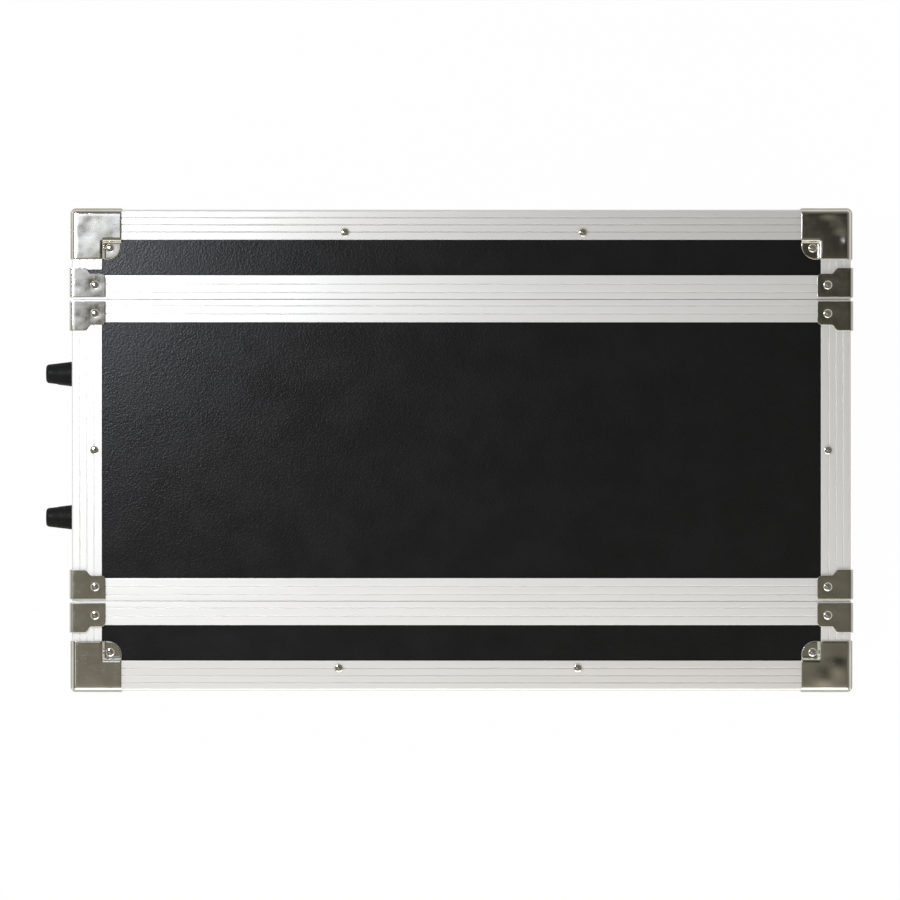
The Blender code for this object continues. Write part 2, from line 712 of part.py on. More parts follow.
def build_rails(material):
    """Builds the two front rack rails with their tapped holes."""
    outer = PANEL_HALF_X - PANEL_THICKNESS - SEAT_GAP
    inner = RACK_PANEL_WIDTH / 2 - RACK_EAR_WIDTH
    hole_x = RACK_PANEL_WIDTH / 2 - RACK_HOLE_INSET
    front = RAIL_SETBACK - JOINT_Y
    half_z = PANEL_HALF_Z - PANEL_THICKNESS - SEAT_GAP
    back = front + RAIL_THICKNESS
    section = [(inner, front), (outer, front), (outer, front + RAIL_SIDE_LEG),
               (outer - RAIL_THICKNESS, front + RAIL_SIDE_LEG), (outer - RAIL_THICKNESS, back), (inner, back)]
    radius = RAIL_HOLE_DIAMETER / 2
    cutter = bmesh.new()
    for unit in range(RACK_UNITS):
        for share in RACK_HOLE_SHARES:
            z = (unit + share) * RACK_UNIT - RACK_HEIGHT / 2
            rings = []
            for y in (front - CUT_OVERRUN, front + RAIL_THICKNESS + CUT_OVERRUN):
                angles = [tau * i / RAIL_HOLE_SIDES for i in range(RAIL_HOLE_SIDES)]
                rings.append([cutter.verts.new((hole_x + radius * cos(angle), y, z + radius * sin(angle)))
                              for angle in angles])
            join_rings(cutter, *rings)
            for ring in rings:
                cutter.faces.new(ring)
    rail = boolean(prism(section, -half_z, half_z, 2), "DIFFERENCE", cutter)
    for side_name, side in SIDES.items():
        copy = copy_to(rail, lambda x, y, z: (side * x, y, MID_Z + z))
        make_piece(f"rack_rail_{side_name}", copy, material)
    rail.free()


def pan_shape(rim_leg, pan_half_width, pan_length, border, direction):
    """Builds an open-ended latch pan with a flange that steps down from the rim to the panel."""
    start = DISH_JOINT_SETBACK
    step = rim_leg + SEAT_GAP
    length = pan_length + DISH_THICKNESS
    flange_top = PLATE_SEAT_OUT + DISH_THICKNESS
    panel_top = SEAT_GAP + DISH_THICKNESS
    flange = [(PLATE_SEAT_OUT, start), (flange_top, start), (flange_top, step + DISH_THICKNESS),
              (panel_top, step + DISH_THICKNESS), (panel_top, length + border), (SEAT_GAP, length + border),
              (SEAT_GAP, step), (PLATE_SEAT_OUT, step)]
    half_wall = DISH_THICKNESS / 2
    walls = [(PAN_UNDERSIDE, start), (flange_top - half_wall, start),
             (flange_top - half_wall, step + half_wall), (panel_top - half_wall, step + half_wall),
             (panel_top - half_wall, length), (PAN_UNDERSIDE, length)]
    outer_half = pan_half_width + DISH_THICKNESS
    flange_half = DISH_FLANGE_HALF_WIDTH
    pan = boolean(prism(flange, -flange_half, flange_half, 2), "UNION",
                  prism(walls, -outer_half, outer_half, 2))
    round_far_corners(pan, outer_half, length, DISH_PAN_CORNER_RADIUS + DISH_THICKNESS)
    round_far_corners(pan, flange_half, length + border, DISH_FLANGE_CORNER_RADIUS)
    hollow = block((PAN_FLOOR, start - CUT_OVERRUN, -pan_half_width),
                   (flange_top + CUT_OVERRUN, pan_length, pan_half_width))
    round_far_corners(hollow, pan_half_width, pan_length, DISH_PAN_CORNER_RADIUS)
    pan = boolean(pan, "DIFFERENCE", hollow)
    for vertex in pan.verts:
        vertex.co.y *= direction
    return pan


def round_far_corners(shape, half_width, length, radius):
    """Rounds a pan's two upright corners on the side away from the joint."""
    corners = []
    for edge in shape.edges:
        at_corner = [abs(abs(vertex.co.z) - half_width) < MERGE_DISTANCE
                     and abs(vertex.co.y - length) < MERGE_DISTANCE for vertex in edge.verts]
        if all(at_corner) and edge.verts[0].co.z * edge.verts[1].co.z > 0:
            corners.append(edge)
    bmesh.ops.bevel(shape, geom=corners, offset=radius, segments=DISH_CORNER_STEPS, profile=0.5,
                    affect="EDGES")


def latch_dish_shape():
    """Builds the dish on the body with the boss that carries the hook and the lever's stem."""
    pan = pan_shape(BODY_RIM_LEG, DISH_PAN_HALF_WIDTH, DISH_PAN_LENGTH, DISH_FLANGE_BORDER, -1)
    half_wall = DISH_THICKNESS / 2
    boss = turned([(PAN_FLOOR - half_wall, BOSS_RADIUS), (HOOK_SEAT, BOSS_RADIUS)], ROUND_SIDES)
    return boolean(pan, "UNION", moved(boss, (0, -LEVER_CENTRE, 0)))


def latch_keeper_shape():
    """Builds the keeper on the lid with the bar that the hook's nose lies over."""
    pan = pan_shape(LID_RIM_LEG, KEEPER_PAN_HALF_WIDTH, KEEPER_PAN_LENGTH, KEEPER_FLANGE_BORDER, 1)
    half_wall = DISH_THICKNESS / 2
    half = KEEPER_PAN_HALF_WIDTH + half_wall
    strike = block((PAN_FLOOR - half_wall, STRIKE_START, -half),
                   (HOOK_SEAT, STRIKE_START + STRIKE_LENGTH, half))
    return boolean(pan, "UNION", strike)


def latch_hook_shape():
    """Builds the flat hook with the slot that lets it slide past the lever's stem."""
    half = HOOK_HALF_WIDTH
    nose = half / 2
    outline = [(-HOOK_TAIL, -half), (HOOK_REACH - nose, -half), (HOOK_REACH, -nose), (HOOK_REACH, nose),
               (HOOK_REACH - nose, half), (-HOOK_TAIL, half)]
    plate = prism(outline, HOOK_UNDERSIDE, HOOK_TOP, 0)
    slot_half = LEVER_STEM_RADIUS + SEAT_GAP
    slot = block((HOOK_UNDERSIDE - CUT_OVERRUN, -LEVER_CENTRE - slot_half - HOOK_TRAVEL, -slot_half),
                 (HOOK_TOP + CUT_OVERRUN, -LEVER_CENTRE + slot_half, slot_half))
    return boolean(plate, "DIFFERENCE", slot)


def latch_lever_shape():
    """Builds the two-winged lever and its stem, centred on its own axis."""
    outline = []
    for i in range(LEVER_SIDES):
        angle = tau * i / LEVER_SIDES
        reach = (LEVER_WING_RADIUS - LEVER_HUB_RADIUS) * abs(sin(angle)) ** LEVER_WAIST_POWER
        radius = LEVER_HUB_RADIUS + reach
        outline.append((radius * cos(angle), radius * sin(angle)))
    wings = prism(outline, LEVER_UNDERSIDE, LEVER_TOP_OUT, 0)
    inside = LEVER_TOP_OUT - LEVER_THICKNESS / 2
    stem = turned([(HOOK_UNDERSIDE, LEVER_STEM_RADIUS), (inside, LEVER_STEM_RADIUS)], ROUND_SIDES)
    return boolean(wings, "UNION", stem)


def build_latches(material, hook_material, parents):
    """Builds a latch at each side of each lid joint."""
    dish, keeper, hook, lever = (latch_dish_shape(), latch_keeper_shape(), latch_hook_shape(),
                                 latch_lever_shape())
    moved(lever, (0, -LEVER_CENTRE, 0))
    for end_name, end in ENDS.items():
        for side_name, side in SIDES.items():
            place = side_place(side, end)
            suffix = f"{end_name}_{side_name}"
            axis_point = place(0, -LEVER_CENTRE, 0)
            make_piece(f"latch_dish_{suffix}", copy_to(dish, place), material)
            make_piece(f"latch_keeper_{suffix}", copy_to(keeper, place), material, parents[end_name])
            make_piece(f"latch_hook_{suffix}", copy_to(hook, place), hook_material, origin=axis_point)
            make_piece(f"latch_lever_{suffix}", copy_to(lever, place), material, origin=axis_point,
                       smooth=True)
    for shape in (dish, keeper, hook, lever):
        shape.free()


def right_wall(out, along, up):
    """Maps a place on the right wall, measured from the middle of the body, to the world."""
    return PANEL_HALF_X + out, along, MID_Z + up


def build_handle_dish(material):
    """Builds the recessed dish with a lug for each end of the bail."""
    wall = HANDLE_THICKNESS
    half_y, half_z = HANDLE_PAN_HALF_WIDTH, HANDLE_PAN_HALF_LENGTH
    steps = HANDLE_CORNER_STEPS
    flange = prism(rounded_rectangle(HANDLE_FLANGE_HALF_WIDTH, HANDLE_FLANGE_HALF_LENGTH,
                                     HANDLE_FLANGE_CORNER_RADIUS, steps), SEAT_GAP, HANDLE_FLANGE_TOP, 0)
    pan = prism(rounded_rectangle(half_y + wall, half_z + wall, HANDLE_PAN_CORNER_RADIUS + wall, steps),
                HANDLE_FLOOR - wall, HANDLE_FLANGE_TOP - wall / 2, 0)
    hollow = prism(rounded_rectangle(half_y, half_z, HANDLE_PAN_CORNER_RADIUS, steps),
                   HANDLE_FLOOR, HANDLE_FLANGE_TOP + CUT_OVERRUN, 0)
    dish = boolean(boolean(flange, "UNION", pan), "DIFFERENCE", hollow)
    lug_start = BAIL_ARM_Z + BAIL_BEND_RADIUS
    lug_top = BAIL_AXIS_OUT + BAIL_RADIUS + LUG_TOP_WALL
    lugs = []
    for direction in (1, -1):
        ends = sorted((direction * lug_start, direction * (half_z + wall / 2)))
        lugs.append(block((HANDLE_FLOOR - wall / 2, BAIL_AXIS_Y - LUG_HALF_WIDTH, ends[0]),
                          (lug_top, BAIL_AXIS_Y + LUG_HALF_WIDTH, ends[1])))
    dish = boolean(dish, "UNION", *lugs)
    radius = BAIL_RADIUS + SEAT_GAP
    angles = [tau * i / ROUND_SIDES for i in range(ROUND_SIDES)]
    circle = [(BAIL_AXIS_OUT + radius * cos(angle), BAIL_AXIS_Y + radius * sin(angle)) for angle in angles]
    bore = prism(circle, -half_z, half_z, 2)
    dish = boolean(dish, "DIFFERENCE", bore)
    make_piece("handle_dish", copy_to(dish, right_wall), material)
    dish.free()


def bail_path():
    """Returns the bail's middle line as (out, along, up) points, folded flat."""
    pin_end = HANDLE_PAN_HALF_LENGTH - BAIL_PIN_END_GAP
    grip_y = BAIL_AXIS_Y - BAIL_ARM
    radius = BAIL_BEND_RADIUS
    half = [(BAIL_AXIS_Y, pin_end)]
    for i in range(BAIL_BEND_STEPS + 1):
        angle = pi / 2 * i / BAIL_BEND_STEPS
        half.append((BAIL_AXIS_Y - radius + radius * cos(angle), BAIL_ARM_Z + radius - radius * sin(angle)))
    for i in range(BAIL_BEND_STEPS + 1):
        angle = pi / 2 * i / BAIL_BEND_STEPS
        half.append((grip_y + radius - radius * sin(angle), BAIL_ARM_Z - radius + radius * cos(angle)))
    points = half + [(y, -z) for y, z in reversed(half)]
    return [Vector((BAIL_AXIS_OUT, y, z)) for y, z in points]


def tube(points, radius, sides):
    """Sweeps a circle along a path that lies in one plane square to X."""
    shape = bmesh.new()
    rings = []
    for i, point in enumerate(points):
        before = points[max(i - 1, 0)]
        after = points[min(i + 1, len(points) - 1)]
        into = (point - before).normalized()
        onward = (after - point).normalized()
        tangent = (into + onward).normalized()
        widen = 1.0
        if 0 < i < len(points) - 1:
            widen = 1 / tangent.dot(into)
        across = Vector((0, tangent.z, -tangent.y)) * widen
        ring = []
        for j in range(sides):
            angle = tau * j / sides
            ring.append(shape.verts.new(point + Vector((1, 0, 0)) * radius * cos(angle)
                                        + across * radius * sin(angle)))
        rings.append(ring)
    for first, second in zip(rings, rings[1:]):
        join_rings(shape, first, second)
    shape.faces.new(rings[0])
    shape.faces.new(rings[-1])
    return shape


def build_handle_bail(steel, rubber):
    """Builds the steel bail and the rubber grip that is slid over it."""
    pivot = right_wall(BAIL_AXIS_OUT, BAIL_AXIS_Y, 0)
    bail = tube(bail_path(), BAIL_RADIUS, BAIL_SIDES)
    make_piece("handle_bail", copy_to(bail, right_wall), steel, origin=pivot, smooth=True)
    bail.free()
    bore = BAIL_RADIUS + SEAT_GAP
    ends = GRIP_HALF_LENGTH
    profile = [(-ends, GRIP_RADIUS - GRIP_BEAD), (-ends + GRIP_BEAD, GRIP_RADIUS),
               (ends - GRIP_BEAD, GRIP_RADIUS), (ends, GRIP_RADIUS - GRIP_BEAD), (ends, bore), (-ends, bore)]
    shape = bmesh.new()
    rings = []
    grip_y = BAIL_AXIS_Y - BAIL_ARM
    angles = [tau * i / ROUND_SIDES for i in range(ROUND_SIDES)]
    for along, radius in profile:
        circle = [(BAIL_AXIS_OUT + radius * cos(angle), grip_y + radius * sin(angle), along) for angle in angles]
        rings.append([shape.verts.new(point) for point in circle])
    for first, second in zip(rings, rings[1:] + rings[:1]):
        join_rings(shape, first, second)
    make_piece("handle_grip", copy_to(shape, right_wall), rubber, origin=pivot, smooth=True)
    shape.free()


def build_feet(material):
    """Builds the four tapered feet on the left side, each with a hole for its screw."""
    rounding = []
    for i in range(FOOT_ROUNDING_STEPS + 1):
        angle = pi / 2 * i / FOOT_ROUNDING_STEPS
        rounding.append((FOOT_HEIGHT - FOOT_TIP_ROUNDING * (1 - sin(angle)),
                         FOOT_TIP_RADIUS - FOOT_TIP_ROUNDING * (1 - cos(angle))))
    floor = FOOT_HEIGHT - FOOT_SCREW_DEPTH
    profile = [(SEAT_GAP, FOOT_BASE_RADIUS)] + rounding
    profile += [(FOOT_HEIGHT, FOOT_SCREW_RADIUS), (floor, FOOT_SCREW_RADIUS)]
    foot = turned(profile, FOOT_SIDES)
    for end_name, end in ENDS.items():
        for level_name, level in LEVELS.items():
            y = FOOT_SHIFT_Y + end * FOOT_SPACING_Y / 2
            z = MID_Z + level * FOOT_SPACING_Z / 2
            copy = copy_to(foot, lambda out, along, up: (-PANEL_HALF_X - out, y + along, z + up))
            name = f"foot_{end_name}_{level_name}"
            make_piece(name, copy, material, origin=(-PANEL_HALF_X, y, z), smooth=True)
    foot.free()


def main():
    """Builds every piece of the case."""
    clear_scene()
    laminate = make_material("black_laminate", (0.012, 0.012, 0.013), 0.0, 0.42)
    aluminium = make_material("ribbed_aluminium", (0.80, 0.80, 0.78), 1.0, 0.38)
    nickel = make_material("nickel_steel", (0.66, 0.65, 0.62), 1.0, 0.16)
    zinc = make_material("zinc_steel", (0.50, 0.51, 0.52), 1.0, 0.32)
    rubber = make_material("black_rubber", (0.016, 0.016, 0.017), 0.0, 0.6)
    lids = {name: make_empty(f"{name}_lid_pull", (0, end * JOINT_Y, MID_Z)) for name, end in ENDS.items()}
    build_body_shell(laminate)
    build_body_rims(aluminium)
    build_body_edges(aluminium)
    for end_name, end in ENDS.items():
        build_lid_shell(end_name, end, laminate, lids[end_name])
        build_lid_frame(end_name, end, aluminium, lids[end_name])
    build_corners(nickel, lids)
    build_braces(nickel, lids)
    build_rails(zinc)
    build_latches(nickel, zinc, lids)
    build_handle_dish(nickel)
    build_handle_bail(nickel, rubber)
    build_feet(rubber)


main()
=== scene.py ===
"""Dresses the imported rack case: rolled, pressed and moulded pieces in detail, finishes, light, camera."""

from __future__ import annotations

import json
import logging
import math
import random
from dataclasses import dataclass, replace
from enum import Enum, IntEnum
from typing import Any, Callable, Iterable, Sequence

import bmesh
import bpy
from mathutils import Matrix, Vector

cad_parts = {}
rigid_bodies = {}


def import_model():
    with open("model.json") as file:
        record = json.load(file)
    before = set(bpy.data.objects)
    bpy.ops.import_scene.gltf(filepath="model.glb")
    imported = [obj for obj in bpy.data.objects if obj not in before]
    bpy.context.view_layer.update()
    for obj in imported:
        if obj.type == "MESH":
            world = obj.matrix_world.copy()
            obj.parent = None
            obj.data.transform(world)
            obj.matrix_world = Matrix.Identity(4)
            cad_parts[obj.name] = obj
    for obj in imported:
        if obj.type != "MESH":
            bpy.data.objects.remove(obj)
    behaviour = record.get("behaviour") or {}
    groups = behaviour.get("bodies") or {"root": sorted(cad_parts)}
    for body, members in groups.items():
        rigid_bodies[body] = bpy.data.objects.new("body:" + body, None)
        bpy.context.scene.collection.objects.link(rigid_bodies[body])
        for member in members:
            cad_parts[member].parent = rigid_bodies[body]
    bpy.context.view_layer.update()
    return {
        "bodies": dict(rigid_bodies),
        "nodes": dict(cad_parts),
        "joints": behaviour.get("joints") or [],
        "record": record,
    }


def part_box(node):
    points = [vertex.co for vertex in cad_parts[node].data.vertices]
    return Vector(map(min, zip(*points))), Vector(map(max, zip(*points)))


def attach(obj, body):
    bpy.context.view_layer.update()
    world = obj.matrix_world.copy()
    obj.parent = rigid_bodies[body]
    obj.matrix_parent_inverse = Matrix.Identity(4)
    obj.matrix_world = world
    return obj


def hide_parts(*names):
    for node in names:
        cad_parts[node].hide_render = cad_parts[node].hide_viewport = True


LOG = logging.getLogger("rack_case")
Point = tuple[float, float, float]
Flat = tuple[float, float]
Dent = tuple[float, float, float, float]
Place = Callable[[float, float, float], Point]
WELD = 1e-7
MM = 0.001
STRAIGHT = math.radians(88)
ROUND_REACH = 0.48
ROUND_STEPS = 6
SMALL_ROUND = MM / 2
SMALL_ROUND_STEPS = 2
BEVEL_ANGLE = math.radians(50)
FLAT_ANGLE = math.radians(1)


class Side(IntEnum):
    """The two side walls, by their way out along X."""

    RIGHT = 1
    LEFT = -1


class End(IntEnum):
    """The two lids, by their way out along Y."""

    REAR = 1
    FRONT = -1

    @property
    def body(self) -> str:
        """Returns the name of the lid's body."""
        return f"{self.name.lower()}_lid"


class Level(IntEnum):
    """The top and bottom faces, by their way out along Z."""

    TOP = 1
    BOTTOM = -1


class Grain(Enum):
    """The way that a piece was rolled or drawn."""

    ALONG_X = (1, 0, 0)
    ALONG_Y = (0, 1, 0)
    ALONG_Z = (0, 0, 1)

    def turn(self) -> Matrix:
        """Finds the rotation whose first axis is the grain.

        Returns:
            The rotation.
        """
        first = Vector(self.value)
        second = Vector((first.z, first.x, first.y))
        return Matrix((first, second, first.cross(second))).transposed().to_4x4()


class Finish(Enum):
    """The record's material slots."""

    LAMINATE = "black_laminate"
    ALUMINIUM = "ribbed_aluminium"
    NICKEL = "nickel_steel"
    ZINC = "zinc_steel"
    RUBBER = "black_rubber"


@dataclass(frozen=True)
class CaseSizes:
    """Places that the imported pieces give, and wall sizes that the detailed pieces share."""

    middle_x: float
    middle_z: float
    half_x: float
    half_z: float
    joint_y: float
    lid_depth: float
    seat: float = 0.3 * MM
    sheet: float = 1.2 * MM
    panel: float = 9.0 * MM
    corner_sheet: float = 0.8 * MM
    brace_sheet: float = 1.2 * MM
    joint_gap: float = 0.3 * MM

    @classmethod
    def from_frame(cls) -> CaseSizes:
        """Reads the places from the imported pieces.

        Returns:
            The sizes, with the panel's outer faces and the lid joints where the pack has them.
        """
        low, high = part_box("body_shell")
        frame_low, frame_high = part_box("rear_lid_frame")
        middle = (low + high) / 2
        joint = frame_low.y - cls.joint_gap / 2
        return cls(middle.x, middle.z, high.x - middle.x, high.z - middle.z, joint, frame_high.y - joint)

    @property
    def skin(self) -> float:
        """Returns how far the aluminium stands out from the panel."""
        return self.seat + self.sheet

    @property
    def corner_out(self) -> float:
        """Returns how far a steel corner stands out from the panel."""
        return self.skin + self.seat + self.corner_sheet

    @property
    def brace_out(self) -> float:
        """Returns how far a brace stands out from the panel."""
        return self.skin + self.seat + self.brace_sheet

    def wall_point(self, side: Side, end: End) -> Place:
        """Maps (out, along, up) on a side wall at a lid joint to the world.

        Args:
            side: The side wall.
            end: The lid joint; along runs away from the body.

        Returns:
            The map.
        """
        return lambda out, along, up: (
            self.middle_x + side * (self.half_x + out), end * (self.joint_y + along), self.middle_z + up)


# Meshes


class Draft:
    """Collects the faces of one piece, in world places."""

    def __init__(self) -> None:
        """Starts an empty mesh."""
        self.mesh = bmesh.new()

    def rings(self, rings: Sequence[Sequence[Point]], closed: bool = False, caps: bool = True) -> None:
        """Joins rings of equally many points.

        Args:
            rings: The rings in order.
            closed: Whether the last ring meets the first.
            caps: Whether the two ends are filled.
        """
        made = [[self.mesh.verts.new(point) for point in ring] for ring in rings]
        count = len(made[0])
        for first, second in zip(made, made[1:] + (made[:1] if closed else [])):
            for i in range(count):
                j = (i + 1) % count
                self.mesh.faces.new((first[i], first[j], second[j], second[i]))
        if caps and not closed:
            self.mesh.faces.new(made[0][::-1])
            self.mesh.faces.new(made[-1])

    def grid(self, rows: Sequence[Sequence[Point]]) -> None:
        """Fills a net of points with quads.

        Args:
            rows: Rows of equally many points.
        """
        made = [[self.mesh.verts.new(point) for point in row] for row in rows]
        for first, second in zip(made, made[1:]):
            for i in range(len(first) - 1):
                self.mesh.faces.new((first[i], first[i + 1], second[i + 1], second[i]))

    def turned(self, profile: Sequence[Flat], centre: Point, axis: Point, sides: int) -> None:
        """Turns a profile round an axis.

        Args:
            profile: Points of (height along the axis, radius).
            centre: Where the height is zero.
            axis: The way up the axis.
            sides: How many sides the turning has.
        """
        up = Vector(axis).normalized()
        across = up.orthogonal().normalized()
        beside = up.cross(across)
        rings = []
        for height, radius in profile:
            turns = [math.tau * i / sides for i in range(sides)]
            rings.append([tuple(Vector(centre) + up * height + across * radius * math.cos(turn)
                                + beside * radius * math.sin(turn)) for turn in turns])
        self.rings(rings)


@dataclass(frozen=True)
class Section:
    """The closed outline of an extrusion: corners of (out, along, rounding)."""

    corners: tuple[tuple[float, float, float], ...]

    def outline(self) -> list[Flat]:
        """Rounds each corner as it asks.

        Returns:
            The outline's points in order.
        """
        points: list[Flat] = []
        count = len(self.corners)
        for i, (x, y, radius) in enumerate(self.corners):
            here = Vector((x, y))
            back = Vector(self.corners[i - 1][:2]) - here
            onward = Vector(self.corners[(i + 1) % count][:2]) - here
            half = back.angle(onward) / 2
            if radius <= 0 or half > STRAIGHT:
                points.append((x, y))
                continue
            reach = min(radius / math.tan(half), ROUND_REACH * min(back.length, onward.length))
            true_radius = reach * math.tan(half)
            back, onward = back.normalized(), onward.normalized()
            centre = here + (back + onward).normalized() * true_radius / math.sin(half)
            start, finish = here + back * reach - centre, here + onward * reach - centre
            turn = start.angle(finish)
            steps = SMALL_ROUND_STEPS if radius < SMALL_ROUND else ROUND_STEPS
            for k in range(steps + 1):
                share = k / steps
                first, second = math.sin((1 - share) * turn), math.sin(share * turn)
                points.append(tuple(centre + (start * first + finish * second) / math.sin(turn)))
        return points


@dataclass(frozen=True)
class PieceSpec:
    """What a piece is called and how it's finished."""

    name: str
    finish: Finish
    body: str
    grain: Grain = Grain.ALONG_X
    stands_for: tuple[str, ...] = ()
    sheet: float = 0.0
    edge: float = 0.0
    crease: float = 38.0
    variant: str = ""


class Workshop:
    """Turns drafts into finished pieces that ride on the case's bodies."""

    def __init__(self, frame: dict[str, Any], sizes: CaseSizes,
                 finishes: dict[Finish, bpy.types.Material]) -> None:
        """Keeps what every piece needs.

        Args:
            sizes: The case's sizes.
            finishes: The material of each slot.
        """
        self.frame = frame
        self.sizes = sizes
        self.finishes = finishes
        # The darker copy of the aluminium is painted shade for the level bars of the lid edges.
        self.variants = {"darker": RibbedAluminium((0.77, 0.76, 0.735), (0.71, 0.70, 0.675)).material(),
                         # A copy with little painted shade in its grooves.
                         "faint_groove_shade": RibbedAluminium(groove_shade=0.15).material()}

    def make(self, draft: Draft, spec: PieceSpec) -> bpy.types.Object:
        """Makes the piece's object.

        Args:
            draft: Its faces.
            spec: Its name and finish.

        Returns:
            The finished object.
        """
        shape = draft.mesh
        bmesh.ops.remove_doubles(shape, verts=shape.verts, dist=WELD)
        bmesh.ops.recalc_face_normals(shape, faces=shape.faces)
        if not spec.sheet and shape.calc_volume(signed=True) < 0:
            bmesh.ops.reverse_faces(shape, faces=shape.faces)
        centre = sum((vertex.co for vertex in shape.verts), Vector()) / len(shape.verts)
        matrix = Matrix.Translation(centre) @ spec.grain.turn()
        bmesh.ops.transform(shape, matrix=matrix.inverted(), verts=shape.verts)
        mesh = bpy.data.meshes.new(spec.name)
        shape.to_mesh(mesh)
        shape.free()
        mesh.materials.append(self.variants.get(spec.variant, self.finishes[spec.finish]))
        mesh.shade_smooth()
        piece = bpy.data.objects.new(spec.name, mesh)
        bpy.context.scene.collection.objects.link(piece)
        piece.matrix_world = matrix
        if spec.sheet:
            thicken = piece.modifiers.new("sheet", "SOLIDIFY")
            thicken.thickness, thicken.offset, thicken.use_even_offset = spec.sheet, -1, True
        if spec.edge:
            soften = piece.modifiers.new("edge", "BEVEL")
            soften.width, soften.segments, soften.limit_method = spec.edge, 2, "ANGLE"
            soften.angle_limit = BEVEL_ANGLE
        self.settle(piece)
        piece.data.set_sharp_from_angle(angle=math.radians(spec.crease))
        piece.modifiers.new("shading", "WEIGHTED_NORMAL").keep_sharp = True
        self.settle(piece)
        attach(piece, spec.body)
        if spec.stands_for:
            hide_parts(*spec.stands_for)
        LOG.info("%s rides on %s, %d faces", spec.name, spec.body, len(piece.data.polygons))
        return piece

    @staticmethod
    def settle(piece: bpy.types.Object) -> None:
        """Applies the piece's modifiers.

        Args:
            piece: The object.
        """
        if not piece.modifiers:
            return
        graph = bpy.context.evaluated_depsgraph_get()
        mesh = bpy.data.meshes.new_from_object(piece.evaluated_get(graph), preserve_all_data_layers=True,
                                               depsgraph=graph)
        piece.modifiers.clear()
        old = piece.data
        piece.data = mesh
        bpy.data.meshes.remove(old)
        mesh.name = piece.name

    def from_node(self, node: str) -> Draft:
        """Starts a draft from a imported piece's own faces.

        Args:
            node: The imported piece.

        Returns:
            The draft, with its flat faces whole again.
        """
        draft = Draft()
        draft.mesh.from_mesh(self.frame["nodes"][node].data)
        bmesh.ops.remove_doubles(draft.mesh, verts=draft.mesh.verts, dist=WELD * 20)
        bmesh.ops.dissolve_limit(draft.mesh, angle_limit=FLAT_ANGLE, verts=draft.mesh.verts,
                                 edges=draft.mesh.edges)
        return draft


# Finishes


class Nodes:
    """Adds nodes to a tree and links them."""

    def __init__(self, tree: bpy.types.NodeTree, coordinate: str) -> None:
        """Keeps the tree.

        Args:
            tree: The node tree.
            coordinate: Which texture coordinate its patterns follow.
        """
        self.tree = tree
        self.coordinate = tree.nodes.new("ShaderNodeTexCoord").outputs[coordinate]

    def node(self, kind: str, inputs: dict[Any, Any], **settings: Any) -> bpy.types.Node:
        """Adds a node.

        Args:
            kind: Its type.
            inputs: Values or sockets for its inputs, by name or number.
            **settings: Properties of the node.

        Returns:
            The node.
        """
        node = self.tree.nodes.new(kind)
        for key, value in settings.items():
            setattr(node, key, value)
        for key, value in inputs.items():
            if isinstance(value, bpy.types.NodeSocket):
                self.tree.links.new(value, node.inputs[key])
            else:
                node.inputs[key].default_value = value
        return node

    def noise(self, size: float, detail: float = 3.0, stretch: Point = (1, 1, 1), rough: float = 0.55) -> Any:
        """Adds noise.

        Args:
            size: The size of its patches, in metres.
            detail: How many octaves it has.
            stretch: How much longer than wide the patches are, on each axis.
            rough: How strong the finer octaves are.

        Returns:
            The socket of its value.
        """
        scale = tuple(1 / (size * way) for way in stretch)
        mapping = self.node("ShaderNodeMapping", {"Vector": self.coordinate, "Scale": scale})
        return self.node("ShaderNodeTexNoise", {"Vector": mapping.outputs[0], "Scale": 1.0, "Detail": detail,
                                                "Roughness": rough}).outputs[0]

    def cells(self, size: float, feature: str = "SMOOTH_F1") -> Any:
        """Adds a field of rounded cells.

        Args:
            size: The size of a cell, in metres.
            feature: Which Voronoi measure is used.

        Returns:
            The socket of its value.
        """
        return self.node("ShaderNodeTexVoronoi", {"Vector": self.coordinate, "Scale": 1 / size},
                         feature=feature).outputs["Distance"]

    def between(self, value: Any, low: float, high: float, start: float = 0.3, finish: float = 0.7) -> Any:
        """Maps a value to a range, smoothly.

        Args:
            value: The socket.
            low: The result at and below start.
            high: The result at and above finish.
            start: Where the rise starts.
            finish: Where it ends.

        Returns:
            The socket of the result.
        """
        return self.node("ShaderNodeMapRange", {"Value": value, "From Min": start, "From Max": finish,
                                                "To Min": low, "To Max": high},
                         interpolation_type="SMOOTHSTEP").outputs[0]

    def math(self, operation: str, first: Any, second: Any) -> Any:
        """Adds a sum, product or other pair.

        Args:
            operation: Blender's name for it.
            first: The first value.
            second: The second value.

        Returns:
            The socket of the result.
        """
        return self.node("ShaderNodeMath", {0: first, 1: second}, operation=operation).outputs[0]

    def blend(self, share: Any, first: Sequence[float], second: Sequence[float]) -> Any:
        """Mixes two colours.

        Args:
            share: How much of the second shows.
            first: The first colour, or a socket.
            second: The second colour, or a socket.

        Returns:
            The socket of the colour.
        """
        pick = [value if isinstance(value, bpy.types.NodeSocket) else (*value, 1.0)
                for value in (first, second)]
        return self.node("ShaderNodeMix", {0: share, 6: pick[0], 7: pick[1]}, data_type="RGBA").outputs[2]

    def along(self, way: Point) -> Any:
        """Measures how far the coordinate reaches along a way.

        Args:
            way: The way, whose length scales the result.

        Returns:
            The socket of the distance.
        """
        return self.node("ShaderNodeVectorMath", {0: self.coordinate, 1: way},
                         operation="DOT_PRODUCT").outputs[1]


